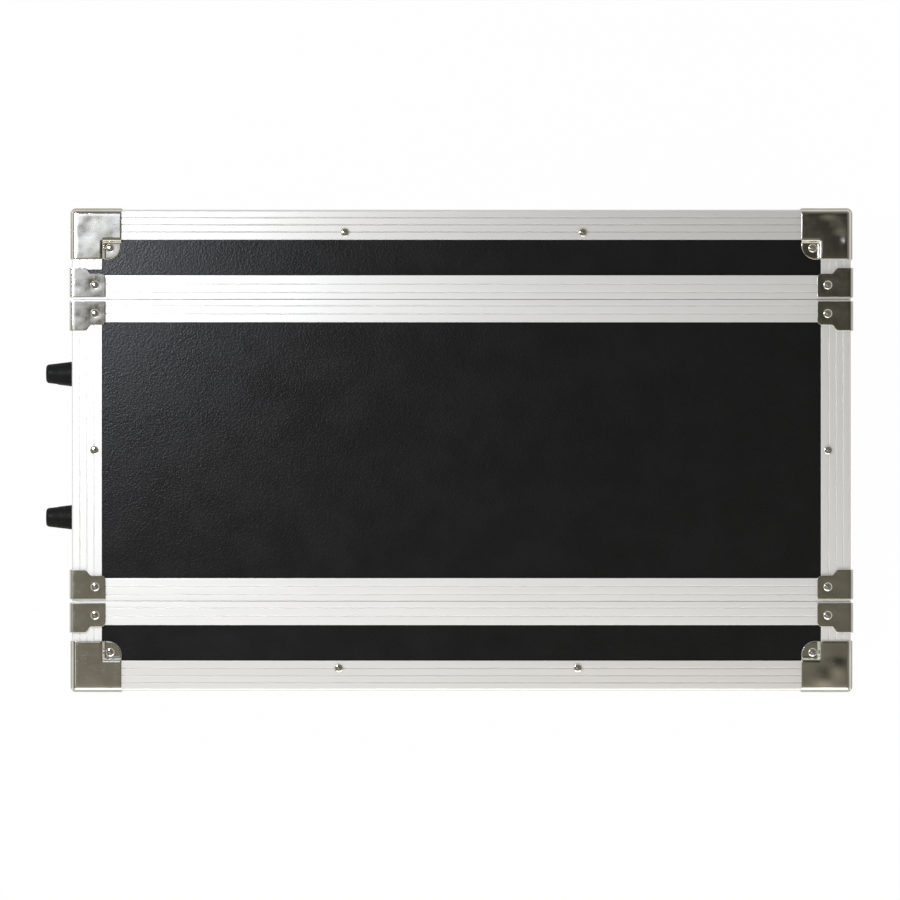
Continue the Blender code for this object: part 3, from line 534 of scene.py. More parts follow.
class Board(Nodes):
    """The node board of one finish."""

    def __init__(self, name: str) -> None:
        """Starts a material with its Principled shader.

        Args:
            name: The material's name.
        """
        self.material = bpy.data.materials.new(name)
        self.material.use_nodes = True
        super().__init__(self.material.node_tree, "Object")
        self.shader = self.tree.nodes["Principled BSDF"]

    def worn_edge(self, low: float = 0.52, high: float = 0.62) -> Any:
        """Marks the edges that are sharp and rubbed.

        Args:
            low: The pointiness where the wear starts.
            high: The pointiness where it's full.

        Returns:
            The socket of a value that is 1 on such an edge and 0 on the flat.
        """
        pointed = self.tree.nodes.new("ShaderNodeNewGeometry").outputs["Pointiness"]
        return self.between(pointed, 0.0, 1.0, low, high)

    def hollow(self, low: float = 0.36, high: float = 0.48) -> Any:
        """Marks the grooves, where the aluminium gets its painted shade.

        Args:
            low: The pointiness where it's full.
            high: The pointiness where it ends.

        Returns:
            The socket of a value that is 1 deep in a groove and 0 on the flat.
        """
        pointed = self.tree.nodes.new("ShaderNodeNewGeometry").outputs["Pointiness"]
        return self.math("SUBTRACT", 1.0, self.between(pointed, 0.0, 1.0, low, high))

    def bump(self, height: Any, depth: float, normal: Any = None) -> Any:
        """Adds bump.

        Args:
            height: The socket of the height.
            depth: How deep it goes, in metres.
            normal: Another bump that this one adds to.

        Returns:
            The socket of the normal.
        """
        inputs: dict[Any, Any] = {"Height": height, "Strength": 1.0, "Distance": depth}
        if normal is not None:
            inputs["Normal"] = normal
        return self.node("ShaderNodeBump", inputs).outputs[0]

    def set(self, **inputs: Any) -> None:
        """Sets the shader's sockets, where spaces in their names are written as underscores.

        Args:
            **inputs: Values or sockets.
        """
        for key, value in inputs.items():
            socket = self.shader.inputs[key.replace("_", " ")]
            if isinstance(value, bpy.types.NodeSocket):
                self.tree.links.new(value, socket)
            else:
                socket.default_value = value


@dataclass(frozen=True)
class Laminate:
    """Black laminate with a fine pebbled grain over plywood."""

    colour: Point = (0.0025, 0.0023, 0.0024)
    scuffed: Point = (0.0050, 0.0048, 0.0049)
    pebble: float = 1.15 * MM
    pebble_depth: float = 0.10 * MM

    def material(self) -> bpy.types.Material:
        """Builds the material.

        Returns:
            The material.
        """
        board = Board("black_laminate_grain")
        scuff = board.math("MULTIPLY", board.between(board.noise(1.1 * MM, 2, (22, 1, 22)), 0, 1, 0.66, 0.78),
                           board.between(board.noise(45 * MM, 3), 0, 0.6, 0.5, 0.72))
        cloud = board.between(board.noise(60 * MM, 4), 0, 0.35)
        grain = board.math("ADD", board.cells(self.pebble),
                           board.math("MULTIPLY", board.noise(0.55 * MM, 3), 0.8))
        tone = board.blend(cloud, self.colour, self.scuffed)
        board.set(Base_Color=board.blend(scuff, tone, (0.013, 0.013, 0.013)),
                  Roughness=board.between(board.noise(26 * MM, 5), 0.28, 0.34, 0.35, 0.65),
                  Normal=board.bump(grain, self.pebble_depth), Specular_IOR_Level=0.33)
        return board.material


@dataclass(frozen=True)
class RibbedAluminium:
    """Satin extrusion with fine drawing lines along its length and painted shade in its grooves."""

    colour: Point = (0.88, 0.875, 0.855)
    darker: Point = (0.82, 0.815, 0.79)
    # How strongly the grooves are darkened: painted shade.
    groove_shade: float = 0.8

    def material(self) -> bpy.types.Material:
        """Builds the material.

        Returns:
            The material.
        """
        board = Board("satin_extrusion")
        drawn = board.noise(0.22 * MM, 3, (900, 1, 1), 0.6)
        patch = board.noise(18 * MM, 4, (5, 1, 1))
        nick = board.between(board.noise(1.4 * MM, 2, (7, 1, 1)), 0, 1, 0.74, 0.80)
        tone = board.blend(board.between(patch, 0, 0.55), self.colour, self.darker)
        tone = board.blend(board.between(drawn, 0, 0.16, 0.3, 0.75), tone, (0.68, 0.68, 0.66))
        # Grooves darkened towards (0.30, 0.29, 0.27): painted shade in the recesses.
        tone = board.blend(board.math("MULTIPLY", board.hollow(), self.groove_shade), tone, (0.30, 0.29, 0.27))
        board.set(Base_Color=board.blend(board.math("MULTIPLY", nick, 0.35), tone, (0.52, 0.52, 0.51)),
                  Roughness=board.between(board.math("ADD", drawn, board.math("MULTIPLY", patch, 0.5)),
                                          0.36, 0.50, 0.45, 1.0),
                  Metallic=0.55, Specular_IOR_Level=0.4,
                  Normal=board.bump(nick, 0.01 * MM, board.bump(drawn, 0.003 * MM)))
        return board.material


@dataclass(frozen=True)
class NickelPlate:
    """Pressed steel with polished nickel, slightly wavy and finely rubbed."""

    colour: Point = (0.66, 0.645, 0.59)
    warm: Point = (0.60, 0.575, 0.50)

    def material(self) -> bpy.types.Material:
        """Builds the material.

        Returns:
            The material.
        """
        board = Board("polished_nickel")
        wave = board.noise(13 * MM, 1)
        smear = board.noise(5 * MM, 5, (1, 2.5, 1))
        rub = board.noise(0.16 * MM, 2, (40, 1, 1))
        fine = board.between(rub, 0, 1, 0.60, 0.75)
        tone = board.blend(board.between(board.noise(14 * MM, 3), 0, 1), self.colour, self.warm)
        board.set(Base_Color=board.blend(board.math("MULTIPLY", board.worn_edge(), 0.6), tone,
                                         (0.78, 0.77, 0.74)),
                  Roughness=board.math("ADD", board.between(smear, 0.045, 0.095, 0.35, 0.7),
                                       board.math("MULTIPLY", fine, 0.03)),
                  Metallic=1.0,
                  Normal=board.bump(fine, 0.002 * MM, board.bump(wave, 0.05 * MM)))
        return board.material


@dataclass(frozen=True)
class ZincPlate:
    """Zinc plated steel with faint cloudy crystals."""

    colour: Point = (0.56, 0.57, 0.585)
    cloud: Point = (0.47, 0.475, 0.47)

    def material(self) -> bpy.types.Material:
        """Builds the material.

        Returns:
            The material.
        """
        board = Board("zinc_plating")
        crystal = board.cells(3.5 * MM, "F1")
        haze = board.noise(7 * MM, 4)
        board.set(Base_Color=board.blend(board.between(board.math("ADD", crystal, haze), 0, 1, 0.4, 1.1),
                                         self.colour, self.cloud),
                  Roughness=board.between(haze, 0.28, 0.44), Metallic=1.0,
                  Normal=board.bump(board.noise(0.4 * MM, 3), 0.012 * MM))
        return board.material


@dataclass(frozen=True)
class MouldedRubber:
    """Black rubber with a fine moulded skin, greyer on its edges."""

    colour: Point = (0.003, 0.003, 0.003)
    dusty: Point = (0.014, 0.0135, 0.013)

    def material(self) -> bpy.types.Material:
        """Builds the material.

        Returns:
            The material.
        """
        board = Board("moulded_rubber")
        dust = board.math("MULTIPLY", board.worn_edge(0.51, 0.60),
                          board.between(board.noise(3 * MM, 4), 0.2, 0.9))
        board.set(Base_Color=board.blend(dust, self.colour, self.dusty),
                  Roughness=board.between(board.noise(2 * MM, 4), 0.46, 0.66), Specular_IOR_Level=0.2,
                  Normal=board.bump(board.noise(0.35 * MM, 3), 0.03 * MM))
        return board.material


FINISHES: dict[Finish, type] = {
    Finish.LAMINATE: Laminate,
    Finish.ALUMINIUM: RibbedAluminium,
    Finish.NICKEL: NickelPlate,
    Finish.ZINC: ZincPlate,
    Finish.RUBBER: MouldedRubber,
}


# Sub-assemblies


@dataclass
class Trim:
    """The ribbed aluminium edges and the rims that close on each other."""

    shop: Workshop
    leg: float = 20 * MM
    bend: float = 1.5 * MM
    edge: float = 0.3 * MM
    groove_width: float = 0.9 * MM
    groove_depth: float = 0.75 * MM
    groove_floor: float = 0.35
    groove_rounding: float = 0.16 * MM
    shallow_depth: float = 0.55 * MM
    shallow_floor: float = 0.15
    angle_grooves: tuple[float, ...] = (0.265, 0.5, 0.74)
    rim_grooves: tuple[float, ...] = (0.275, 0.632)
    body_rim: float = 15.3 * MM
    lid_rim: float = 16 * MM
    inner_leg: float = 12 * MM
    tongue_inset: float = 3.3 * MM
    tongue: float = 2.4 * MM
    tongue_height: float = 4 * MM
    dish_cut: float = 22.8 * MM
    keeper_cut: float = 14.8 * MM
    short_post: float = 3.9 * MM
    post_gap: float = 0.1 * MM

    def grooves(self, start: float, finish: float, shares: Sequence[float], floor: float,
                swap: bool = False) -> list[tuple[float, float, float]]:
        """Draws the grooves along a face.

        Args:
            start: Where the face starts, along it.
            finish: Where it ends.
            shares: Where the grooves are, as shares of the way.
            floor: The signed depth of the grooves from the face at zero.
            swap: Whether the face runs along the section's first axis.

        Returns:
            Their corners, with the rounding of each.
        """
        way = 1 if finish > start else -1
        half = self.groove_width / 2 * way
        foot = half * self.groove_floor
        corners = []
        for share in shares:
            middle = start + (finish - start) * share
            for along, depth in ((-half, 0.0), (-foot, floor), (foot, floor), (half, 0.0)):
                pair = (middle + along, depth) if swap else (depth, middle + along)
                corners.append((*pair, self.groove_rounding))
        return corners

    def angle(self, reach: float | None = None) -> Section:
        """Draws the edge angle, measured inward from its outer corner.

        Args:
            reach: The second leg's length where it isn't whole.

        Returns:
            The section.
        """
        wall = self.shop.sizes.sheet
        leg, second = self.leg, reach or self.leg
        kept = [share for share in self.angle_grooves if share * leg < second - self.groove_width]
        shares = [share * leg / second for share in kept]
        first_face = self.grooves(leg, 0, [1 - share for share in reversed(self.angle_grooves)],
                                  self.groove_depth, True)
        second_face = self.grooves(0, second, shares, self.groove_depth)
        return Section(((leg, 0, self.edge), *first_face, (0, 0, self.bend), *second_face,
                        (0, second, self.edge), (wall, second, self.edge / 2), (wall, wall, self.edge),
                        (leg, wall, self.edge / 2)))

    def rim(self, of_lid: bool) -> Section:
        """Draws a rim.

        Args:
            of_lid: Whether it's the lid's, with the groove, or the body's, with the tongue.

        Returns:
            The section as (out, distance from the joint).
        """
        sizes = self.shop.sizes
        leg = self.lid_rim if of_lid else self.body_rim
        face, wall, soft, deep = sizes.joint_gap / 2, sizes.sheet, self.edge / 2, sizes.panel
        outer = [(sizes.skin - depth, along, radius) for depth, along, radius in
                 self.grooves(face, leg, self.rim_grooves, self.groove_depth)]
        start = ((sizes.skin, face, self.edge), *outer, (sizes.skin, leg, self.edge), (sizes.seat, leg, soft))
        inner = deep + sizes.seat + wall
        legs = ((-deep - sizes.seat, face + wall, 0), (-deep - sizes.seat, self.inner_leg, soft),
                (-inner, self.inner_leg, self.edge), (-inner, face, self.edge))
        if not of_lid:
            side, height = -(self.tongue_inset + self.tongue), face - self.tongue_height
            return Section((*start, (sizes.seat, face + wall, 0), *legs, (side, face, 0),
                            (side, height, self.edge), (-self.tongue_inset, height, self.edge),
                            (-self.tongue_inset, face, 0)))
        near = -self.tongue_inset + sizes.seat
        far = -(self.tongue_inset + self.tongue + sizes.seat)
        floor = face + self.tongue_height + sizes.seat
        back = floor + wall
        return Section((*start, (sizes.seat, face + wall, 0), (near + wall, face + wall, 0),
                        (near + wall, back, soft), (far - wall, back, soft), (far - wall, face + wall, 0),
                        *legs, (far, face, soft), (far, floor, 0), (near, floor, 0), (near, face, soft)))

    def bar(self, draft: Draft, outline: Sequence[Flat], start: Flat, finish: Flat, place: Place) -> None:
        """Extrudes an outline between two ends, each cut square or mitred.

        Args:
            draft: Where it goes.
            outline: Points of (out, along).
            start: The start's place and how much it moves for each metre out.
            finish: The same for its end.
            place: The map from (place, out, along) to the world.
        """
        draft.rings([[place(at + slope * out, out, along) for out, along in outline]
                     for at, slope in (start, finish)])

    def ring(self, name: str, section: Section, to_y: Callable[[float], float], body: str, cut: float,
             stands_for: tuple[str, ...], variant: str = "") -> None:
        """Makes the four mitred bars of one ring round the case.

        Args:
            name: What it's called.
            section: Its section as (out, along).
            to_y: The map from along to Y.
            body: The body it rides on.
            cut: Half the length that the latches take from its side bars, or zero.
            stands_for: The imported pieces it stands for.
            variant: Which aluminium its level bars have.
        """
        sizes, outline = self.shop.sizes, section.outline()
        level_bars, side_bars = Draft(), Draft()
        for level in Level:
            self.bar(level_bars, outline, (-sizes.half_x, -1), (sizes.half_x, 1), lambda t, out, along: (
                sizes.middle_x + t, to_y(along), sizes.middle_z + level * (sizes.half_z + out)))
        deep = sizes.panel + sizes.seat
        face = sizes.joint_gap / 2
        bridge = [(-deep, face), (-deep - sizes.sheet, face), (-deep - sizes.sheet, self.inner_leg),
                  (-deep, self.inner_leg)]
        for side in Side:
            def place(t: float, out: float, along: float) -> Point:
                """Maps a point of a side bar to the world."""
                return sizes.middle_x + side * (sizes.half_x + out), to_y(along), sizes.middle_z + t
            if cut:
                self.bar(side_bars, outline, (-sizes.half_z, -1), (-cut, 0), place)
                self.bar(side_bars, bridge, (-cut, 0), (cut, 0), place)
                self.bar(side_bars, outline, (cut, 0), (sizes.half_z, 1), place)
            else:
                self.bar(side_bars, outline, (-sizes.half_z, -1), (sizes.half_z, 1), place)
        for draft, way, grain in ((level_bars, "across", Grain.ALONG_X),
                                  (side_bars, "upright", Grain.ALONG_Z)):
            self.shop.make(draft, PieceSpec(f"{name}_{way}", Finish.ALUMINIUM, body, grain, stands_for,
                                            variant=variant if draft is level_bars else ""))

    def build(self) -> None:
        """Makes every bar."""
        sizes, skin = self.shop.sizes, self.shop.sizes.skin
        shallow = replace(self, groove_depth=self.shallow_depth, groove_floor=self.shallow_floor)
        angle = shallow.angle().outline()

        def edge_place(side: Side, level: Level) -> Place:
            """Returns the map from (place along Y, inward across, inward down) to the world."""
            return lambda t, across, down: (sizes.middle_x + side * (sizes.half_x + skin - across), t,
                                            sizes.middle_z + level * (sizes.half_z + skin - down))
        reach = sizes.joint_y - self.body_rim - sizes.seat
        for level in Level:
            for side in Side:
                draft = Draft()
                self.bar(draft, angle, (-reach, 0), (reach, 0), edge_place(side, level))
                name = f"body_edge_{level.name.lower()}_{side.name.lower()}"
                # The body edge bars take the copy with little painted groove shade.
                self.shop.make(draft, PieceSpec(f"{name}_bar", Finish.ALUMINIUM, "case", Grain.ALONG_Y,
                                                (name,), variant="faint_groove_shade"))
        for end in End:
            word = end.name.lower()
            self.ring(f"body_rim_{word}_bars", self.rim(False), lambda along: end * (sizes.joint_y - along),
                      "case", self.dish_cut, (f"body_rim_{word}",))
            frame = (f"{word}_lid_frame",)
            self.ring(f"{word}_lid_rim_bars", self.rim(True), lambda along: end * (sizes.joint_y + along),
                      end.body, self.keeper_cut, frame)
            section = Section(tuple((skin - inward, sizes.lid_depth - along, radius)
                                    for inward, along, radius in self.angle().corners))
            # The level bars of the lid edge ring take the darker copy: painted shade.
            self.ring(f"{word}_lid_edge_bars", section, lambda along: end * (sizes.joint_y + along),
                      end.body, 0, frame, "darker")

            def cut_at(along: float) -> Flat:
                """Returns a square cut at a distance from the lid's joint."""
                return end * (sizes.joint_y + along), 0
            posts = Draft()
            for level in Level:
                for side in Side:
                    near, far = self.lid_rim + self.post_gap, sizes.lid_depth - self.leg - self.post_gap
                    place = edge_place(side, level)
                    if (end, level, side) == (End.REAR, Level.TOP, Side.LEFT):
                        cut = near + self.short_post
                        half = [(down, across) for across, down in shallow.angle(self.leg / 2).outline()]
                        self.bar(posts, half, cut_at(near), cut_at(cut), place)
                        near = cut
                    self.bar(posts, angle, cut_at(near), cut_at(far), place)
            # The lid posts take the copy with little painted groove shade.
            self.shop.make(posts, PieceSpec(f"{word}_lid_posts", Finish.ALUMINIUM, end.body, Grain.ALONG_Y,
                                            frame, variant="faint_groove_shade"))


def smooth_step(value: float) -> float:
    """Returns a smooth rise from 0 to 1 for a value from 0 to 1."""
    value = min(max(value, 0.0), 1.0)
    return value * value * (3 - 2 * value)


def spaced(start: float, finish: float, count: int) -> list[float]:
    """Returns evenly spaced values after start, up to and with finish."""
    return [start + (finish - start) * (i + 1) / count for i in range(count)]


def rounded(u: float, v: float, start: Flat, radius: float) -> Flat:
    """Moves a point of a square net so that the net's last corner is round.

    Args:
        u: The point's first place.
        v: Its second place.
        start: Where the rounding starts, each way.
        radius: Its radius.

    Returns:
        The moved point.
    """
    p, q = (u - start[0]) / radius, (v - start[1]) / radius
    if p <= 0 or q <= 0:
        return u, v
    return (start[0] + radius * p * math.sqrt(1 - q * q / 2),
            start[1] + radius * q * math.sqrt(1 - p * p / 2))


@dataclass
class Corners:
    """The pressed steel corners of the lids, each with its own faint dents."""

    shop: Workshop
    size: float = 34.2 * MM
    arm: float = 21.4 * MM
    step_run: float = 1.6 * MM
    tab_radius: float = 9.5 * MM
    fold: float = 3.8 * MM
    fold_steps: int = 5
    dent: float = 0.30 * MM
    calm: float = 0.12
    bulge: float = -0.7
    dent_spots: tuple[Flat, ...] = ((8.5, 18), (17.5, 8.5))
    dent_wander: float = 1.5
    dent_widths: Flat = (4.8, 6.2)
    dent_heights: Flat = (0.7, 1.0)
    rivet_dip: float = 0.03 * MM
    rivet_dip_width: float = 3.4 * MM
    rivet_at: float = 26.6 * MM

    def lines(self) -> list[float]:
        """Spaces the lines of a face's net.

        Returns:
            Their distances from a fold.
        """
        turns = [math.pi / 4 * (1 - i / self.fold_steps) for i in range(self.fold_steps + 1)]
        folds = [self.fold * (1 - math.tan(turn)) for turn in turns]
        return (folds + spaced(self.fold, self.arm, 9) + spaced(self.arm, self.arm + self.step_run, 5)
                + spaced(self.arm + self.step_run, self.size - self.tab_radius, 2)
                + spaced(self.size - self.tab_radius, self.size, 8))

    def depth(self, u: float, v: float, dents: Sequence[Dent]) -> float:
        """Measures how far a face lies in from its flat.

        Args:
            u: The distance from the first fold.
            v: The distance from the second.
            dents: Places, widths and heights of its dents.

        Returns:
            The depth.
        """
        total = 0.0
        past_u, past_v = u - self.arm, v - self.arm
        if past_u > 0 and past_v > 0:
            past = (past_u ** -5 + past_v ** -5) ** -0.2
            total += self.shop.sizes.skin * smooth_step(past / self.step_run)
            gap = math.hypot(u - self.rivet_at, v - self.rivet_at)
            total += self.rivet_dip * math.exp(-(gap / self.rivet_dip_width) ** 2)
        inside = smooth_step((min(u, v) - self.fold * 0.4) / (self.fold * 1.6))
        for at_u, at_v, width, height in dents:
            total -= inside * height * math.exp(-((u - at_u) ** 2 + (v - at_v) ** 2) / width ** 2)
        return total

    def face(self, dents: Sequence[Dent]) -> list[list[Point]]:
        """Builds one face's net, its two folds rounded.

        Args:
            dents: Places, widths and heights of its dents.

        Returns:
            Rows of (u, v, inward) points.
        """
        start = self.size - self.tab_radius
        rows = []
        for v_line in self.lines():
            row = []
            for u_line in self.lines():
                u, v = rounded(u_line, v_line, (start, start), self.tab_radius)
                core = Vector((max(u, self.fold), max(v, self.fold), self.fold))
                out = Vector((u, v, 0)) - core
                point = core + out.normalized() * self.fold
                row.append((point.x, point.y, point.z + self.depth(u, v, dents)))
            rows.append(row)
        return rows

    def dents(self, chance: random.Random, height: float) -> list[Dent]:
        """Draws the dents of one face.

        Args:
            chance: The corner's own random numbers.
            height: The greatest depth of a dent, below zero for a bulge.

        Returns:
            Places, widths and heights.
        """
        wander = self.dent_wander
        return [((at_u + chance.uniform(-wander, wander)) * MM, (at_v + chance.uniform(-wander, wander)) * MM,
                 chance.uniform(*self.dent_widths) * MM, chance.uniform(*self.dent_heights) * height)
                for at_u, at_v in self.dent_spots]

    def build(self) -> None:
        """Makes the eight corners."""
        sizes = self.shop.sizes
        out = sizes.corner_out
        far = sizes.joint_y + sizes.lid_depth + out - sizes.skin
        for end in End:
            for level in Level:
                for side in Side:
                    name = f"corner_{end.name.lower()}_{level.name.lower()}_{side.name.lower()}"
                    chance = random.Random(name)
                    dent = self.dent if end is End.FRONT else self.bulge * self.dent
                    dent = dent * (self.calm if side is Side.LEFT else 1)
                    draft = Draft()
                    for normal in range(3):
                        rows = []
                        for row in self.face(self.dents(chance, dent)):
                            turned = [{2: (u, v, w), 0: (w, u, v), 1: (v, w, u)}[normal] for u, v, w in row]
                            rows.append([(sizes.middle_x + side * (sizes.half_x + out - a), end * (far - b),
                                          sizes.middle_z + level * (sizes.half_z + out - c))
                                         for a, b, c in turned])
                        draft.grid(rows)
                    orient(draft, Vector((sizes.middle_x, 0, sizes.middle_z)))
                    self.shop.make(draft, PieceSpec(
                        f"{name}_pressing", Finish.NICKEL, end.body, Grain.ALONG_X, (name,),
                        sheet=sizes.corner_sheet, edge=0.28 * MM, crease=60))


def orient(draft: Draft, middle: Vector) -> None:
    """Turns a sheet's faces away from the middle of the case.

    Args:
        draft: The sheet.
        middle: The middle.
    """
    shape = draft.mesh
    bmesh.ops.remove_doubles(shape, verts=shape.verts, dist=WELD)
    bmesh.ops.recalc_face_normals(shape, faces=shape.faces)
    facing = sum(face.normal.dot(face.calc_center_median() - middle) * face.calc_area()
                 for face in shape.faces)
    if facing < 0:
        bmesh.ops.reverse_faces(shape, faces=shape.faces)


@dataclass
class Braces:
    """The folded steel braces beside the joints."""

    shop: Workshop
    width: float = 24.0 * MM
    setback: float = 1.3 * MM
    long_side: float = 19.6 * MM
    short_side: float = 15.8 * MM
    step_start: float = 10.2 * MM
    step_run: float = 4.2 * MM
    corner_radius: float = 3.2 * MM
    bend: float = 2.1 * MM
    rivet_in: float = 17.0 * MM
    rivet_along: float = 9.5 * MM
    dip: float = 0.035 * MM
    dip_width: float = 3.6 * MM
    lean: float = 0.05

    def far_side(self, distance: float) -> float:
        """Measures how far from the joint the brace reaches.

        Args:
            distance: The distance from its fold.

        Returns:
            The reach there.
        """
        long_side, short_side = self.setback + self.long_side, self.setback + self.short_side
        share = smooth_step((distance - self.step_start) / self.step_run)
        return long_side + (short_side - long_side) * share

    def build(self) -> None:
        """Makes the sixteen braces."""
        sizes = self.shop.sizes
        start = self.width - self.corner_radius
        distances = ([self.bend] + spaced(self.bend, self.step_start, 4)
                     + spaced(self.step_start, self.step_start + self.step_run, 6)
                     + spaced(self.step_start + self.step_run, start, 5) + spaced(start, self.width, 5))
        shares = [0, 0.03] + spaced(0.03, 0.97, 12) + [1]
        for end in End:
            for level in Level:
                for side in Side:
                    for part, way, body in (("body", -1, "case"), ("lid", 1, end.body)):
                        name = f"brace_{part}_{end.name.lower()}_{level.name.lower()}_{side.name.lower()}"
                        chance = random.Random(name)
                        lean = [chance.uniform(0, self.lean) * MM for _ in range(4)]
                        rows = [self.row(distance, 0, shares, lean) for distance in reversed(distances)]
                        rows += [self.arc(math.pi / 2 * i / 6, shares) for i in range(1, 6)]
                        rows += [self.row(distance, 1, shares, lean) for distance in distances]
                        draft = Draft()
                        draft.grid([[(sizes.middle_x + side * (sizes.half_x + sizes.brace_out - a),
                                      end * (sizes.joint_y + way * along),
                                      sizes.middle_z + level * (sizes.half_z + sizes.brace_out - b))
                                     for a, along, b in row] for row in rows])
                        orient(draft, Vector((sizes.middle_x, 0, sizes.middle_z)))
                        self.shop.make(draft, PieceSpec(
                            f"{name}_plate", Finish.NICKEL, body, Grain.ALONG_Y, (name,),
                            sheet=sizes.brace_sheet, edge=0.42 * MM, crease=60))

    def row(self, distance: float, face: int, shares: Sequence[float], lean: Sequence[float]) -> list[Point]:
        """Builds one line of the net on a flat face.

        Args:
            distance: How far it lies from the fold.
            face: 0 for the level face and 1 for the upright one.
            shares: Where its points lie, as shares of the way from the joint side.
            lean: How much the two free corners of each face are bent.

        Returns:
            Its (across, along, down) points.
        """
        points = []
        far = self.far_side(distance)
        start = (self.width - self.corner_radius, far - self.corner_radius)
        for share in shares:
            place = self.setback + share * (far - self.setback)
            across, along = rounded(distance, place, start, self.corner_radius)
            gap = math.hypot(across - self.rivet_in, along - self.rivet_along)
            depth = self.dip * math.exp(-(gap / self.dip_width) ** 2)
            edge = across / self.width
            depth += edge * edge * (lean[2 * face] * (1 - share) + lean[2 * face + 1] * share)
            depth = max(depth, 0.0)
            points.append((across, along, depth) if face == 0 else (depth, along, across))
        return points

    def arc(self, turn: float, shares: Sequence[float]) -> list[Point]:
        """Builds one line of the net on the fold.

        Args:
            turn: How far round the fold it lies.
            shares: Where its points lie.

        Returns:
            Its (across, along, down) points.
        """
        across, down = self.bend * (1 - math.sin(turn)), self.bend * (1 - math.cos(turn))
        far = self.far_side(0)
        return [(across, self.setback + share * (far - self.setback), down) for share in shares]


@dataclass
class Rivets:
    """The domed rivet heads on the trim, corners, braces and fittings."""

    shop: Workshop
    radius: float = 3.0 * MM
    rim: float = 0.28 * MM
    rise: float = 0.92 * MM
    sunk: float = 0.25 * MM
    flat: float = 0.38
    sides: int = 24
    inset: float = 15 * MM
    sunk_share: float = 0.6

    def profile(self, scale: float, height: float) -> list[Flat]:
        """Draws the head.

        Args:
            scale: Its size beside the standard head.
            height: Its height beside the standard head's.

        Returns:
            Points of (height, radius).
        """
        rim, rise = self.rim * height, self.rise * height
        turns = [math.pi / 2 * i / 8 for i in range(8)]
        dome = [(rim + rise * math.sin(turn), self.radius * math.cos(turn)) for turn in turns]
        points = [(-self.sunk, self.radius * 0.97)] + dome + [(rim + rise, self.radius * 0.06)]
        return [(up * scale, radius * scale) for up, radius in points]

    def add(self, draft: Draft, centre: Point, axis: Point, scale: float = 1.0, height: float = 1.0) -> None:
        """Adds a head.

        Args:
            draft: Where it goes.
            centre: Where it sits.
            axis: The way out of its surface.
            scale: Its size beside the standard head.
            height: Its height beside the standard head's.
        """
        draft.turned(self.profile(scale, height), centre, axis, self.sides)

    def build(self, trim: Trim, corners: Corners, braces: Braces) -> None:
        """Makes the heads of the trim, the corners and the braces.

        Args:
            trim: The aluminium; not used.
            corners: The steel corners.
            braces: The braces.
        """
        sizes = self.shop.sizes
        drafts = {"case": Draft(), End.REAR.body: Draft(), End.FRONT.body: Draft()}
        far = sizes.joint_y + sizes.lid_depth
        along_x = {End.REAR: (-77.6 * MM, 81.1 * MM), End.FRONT: (-81.7 * MM, 77.7 * MM)}
        for level in Level:
            z = sizes.middle_z + level * (sizes.half_z + sizes.skin)
            for side in Side:
                x = sizes.middle_x + side * (sizes.half_x + sizes.skin)
                self.add(drafts["case"], (x - side * self.inset, 0, z), (0, 0, level))
                self.add(drafts["case"], (x, 0, z - level * self.inset), (side, 0, 0), height=self.flat)
            for end in End:
                for x in along_x[end]:
                    across = sizes.middle_x + x
                    self.add(drafts[end.body], (across, end * (far - self.inset), z), (0, 0, level))
                    self.add(drafts[end.body], (across, end * far, z - level * self.inset), (0, end, 0),
                             height=self.flat)
        for end in End:
            for side in Side:
                x = sizes.middle_x + side * (sizes.half_x + sizes.skin)
                self.add(drafts[end.body], (x, end * (far - self.inset), sizes.middle_z), (side, 0, 0))
                self.add(drafts[end.body], (x - side * self.inset, end * far, sizes.middle_z), (0, end, 0))
                for level in Level:
                    self.on_corner(drafts[end.body], corners, side, end, level)
                    self.on_brace(drafts["case"], braces, (side, end, level), -1)
                    self.on_brace(drafts[end.body], braces, (side, end, level), 1)
        for body, draft in drafts.items():
            self.shop.make(draft, PieceSpec(f"{body}_rivets", Finish.NICKEL, body))

    def on_corner(self, draft: Draft, corners: Corners, side: Side, end: End, level: Level) -> None:
        """Adds the three rivets of one corner.

        Args:
            draft: Where they go.
            corners: The steel corners.
            side: The corner's side wall.
            end: Its lid.
            level: Its top or bottom face.
        """
        sizes = self.shop.sizes
        outer = Vector((sizes.middle_x + side * (sizes.half_x + sizes.corner_out),
                        end * (sizes.joint_y + sizes.lid_depth + sizes.corner_out - sizes.skin),
                        sizes.middle_z + level * (sizes.half_z + sizes.corner_out)))
        inward = Vector((-side, -end, -level))
        for axis in range(3):
            steps = Vector([corners.rivet_at] * 3)
            steps[axis] = sizes.skin + corners.rivet_dip * self.sunk_share
            centre = outer + Vector([a * b for a, b in zip(inward, steps)])
            out = [0.0, 0.0, 0.0]
            out[axis] = -inward[axis]
            self.add(draft, tuple(centre), tuple(out))

    def on_brace(self, draft: Draft, braces: Braces, corner: tuple[Side, End, Level], way: int) -> None:
        """Adds the two rivets of one brace.

        Args:
            draft: Where they go.
            braces: The braces.
            corner: The side wall, the lid and the face.
            way: 1 on the lid and -1 on the body.
        """
        sizes = self.shop.sizes
        side, end, level = corner
        x = sizes.middle_x + side * (sizes.half_x + sizes.brace_out)
        z = sizes.middle_z + level * (sizes.half_z + sizes.brace_out)
        y = end * (sizes.joint_y + way * braces.rivet_along)
        dip = braces.dip * self.sunk_share
        self.add(draft, (x - side * braces.rivet_in, y, z - level * dip), (0, 0, level))
        self.add(draft, (x - side * dip, y, z - level * braces.rivet_in), (side, 0, 0),
                 height=self.flat)


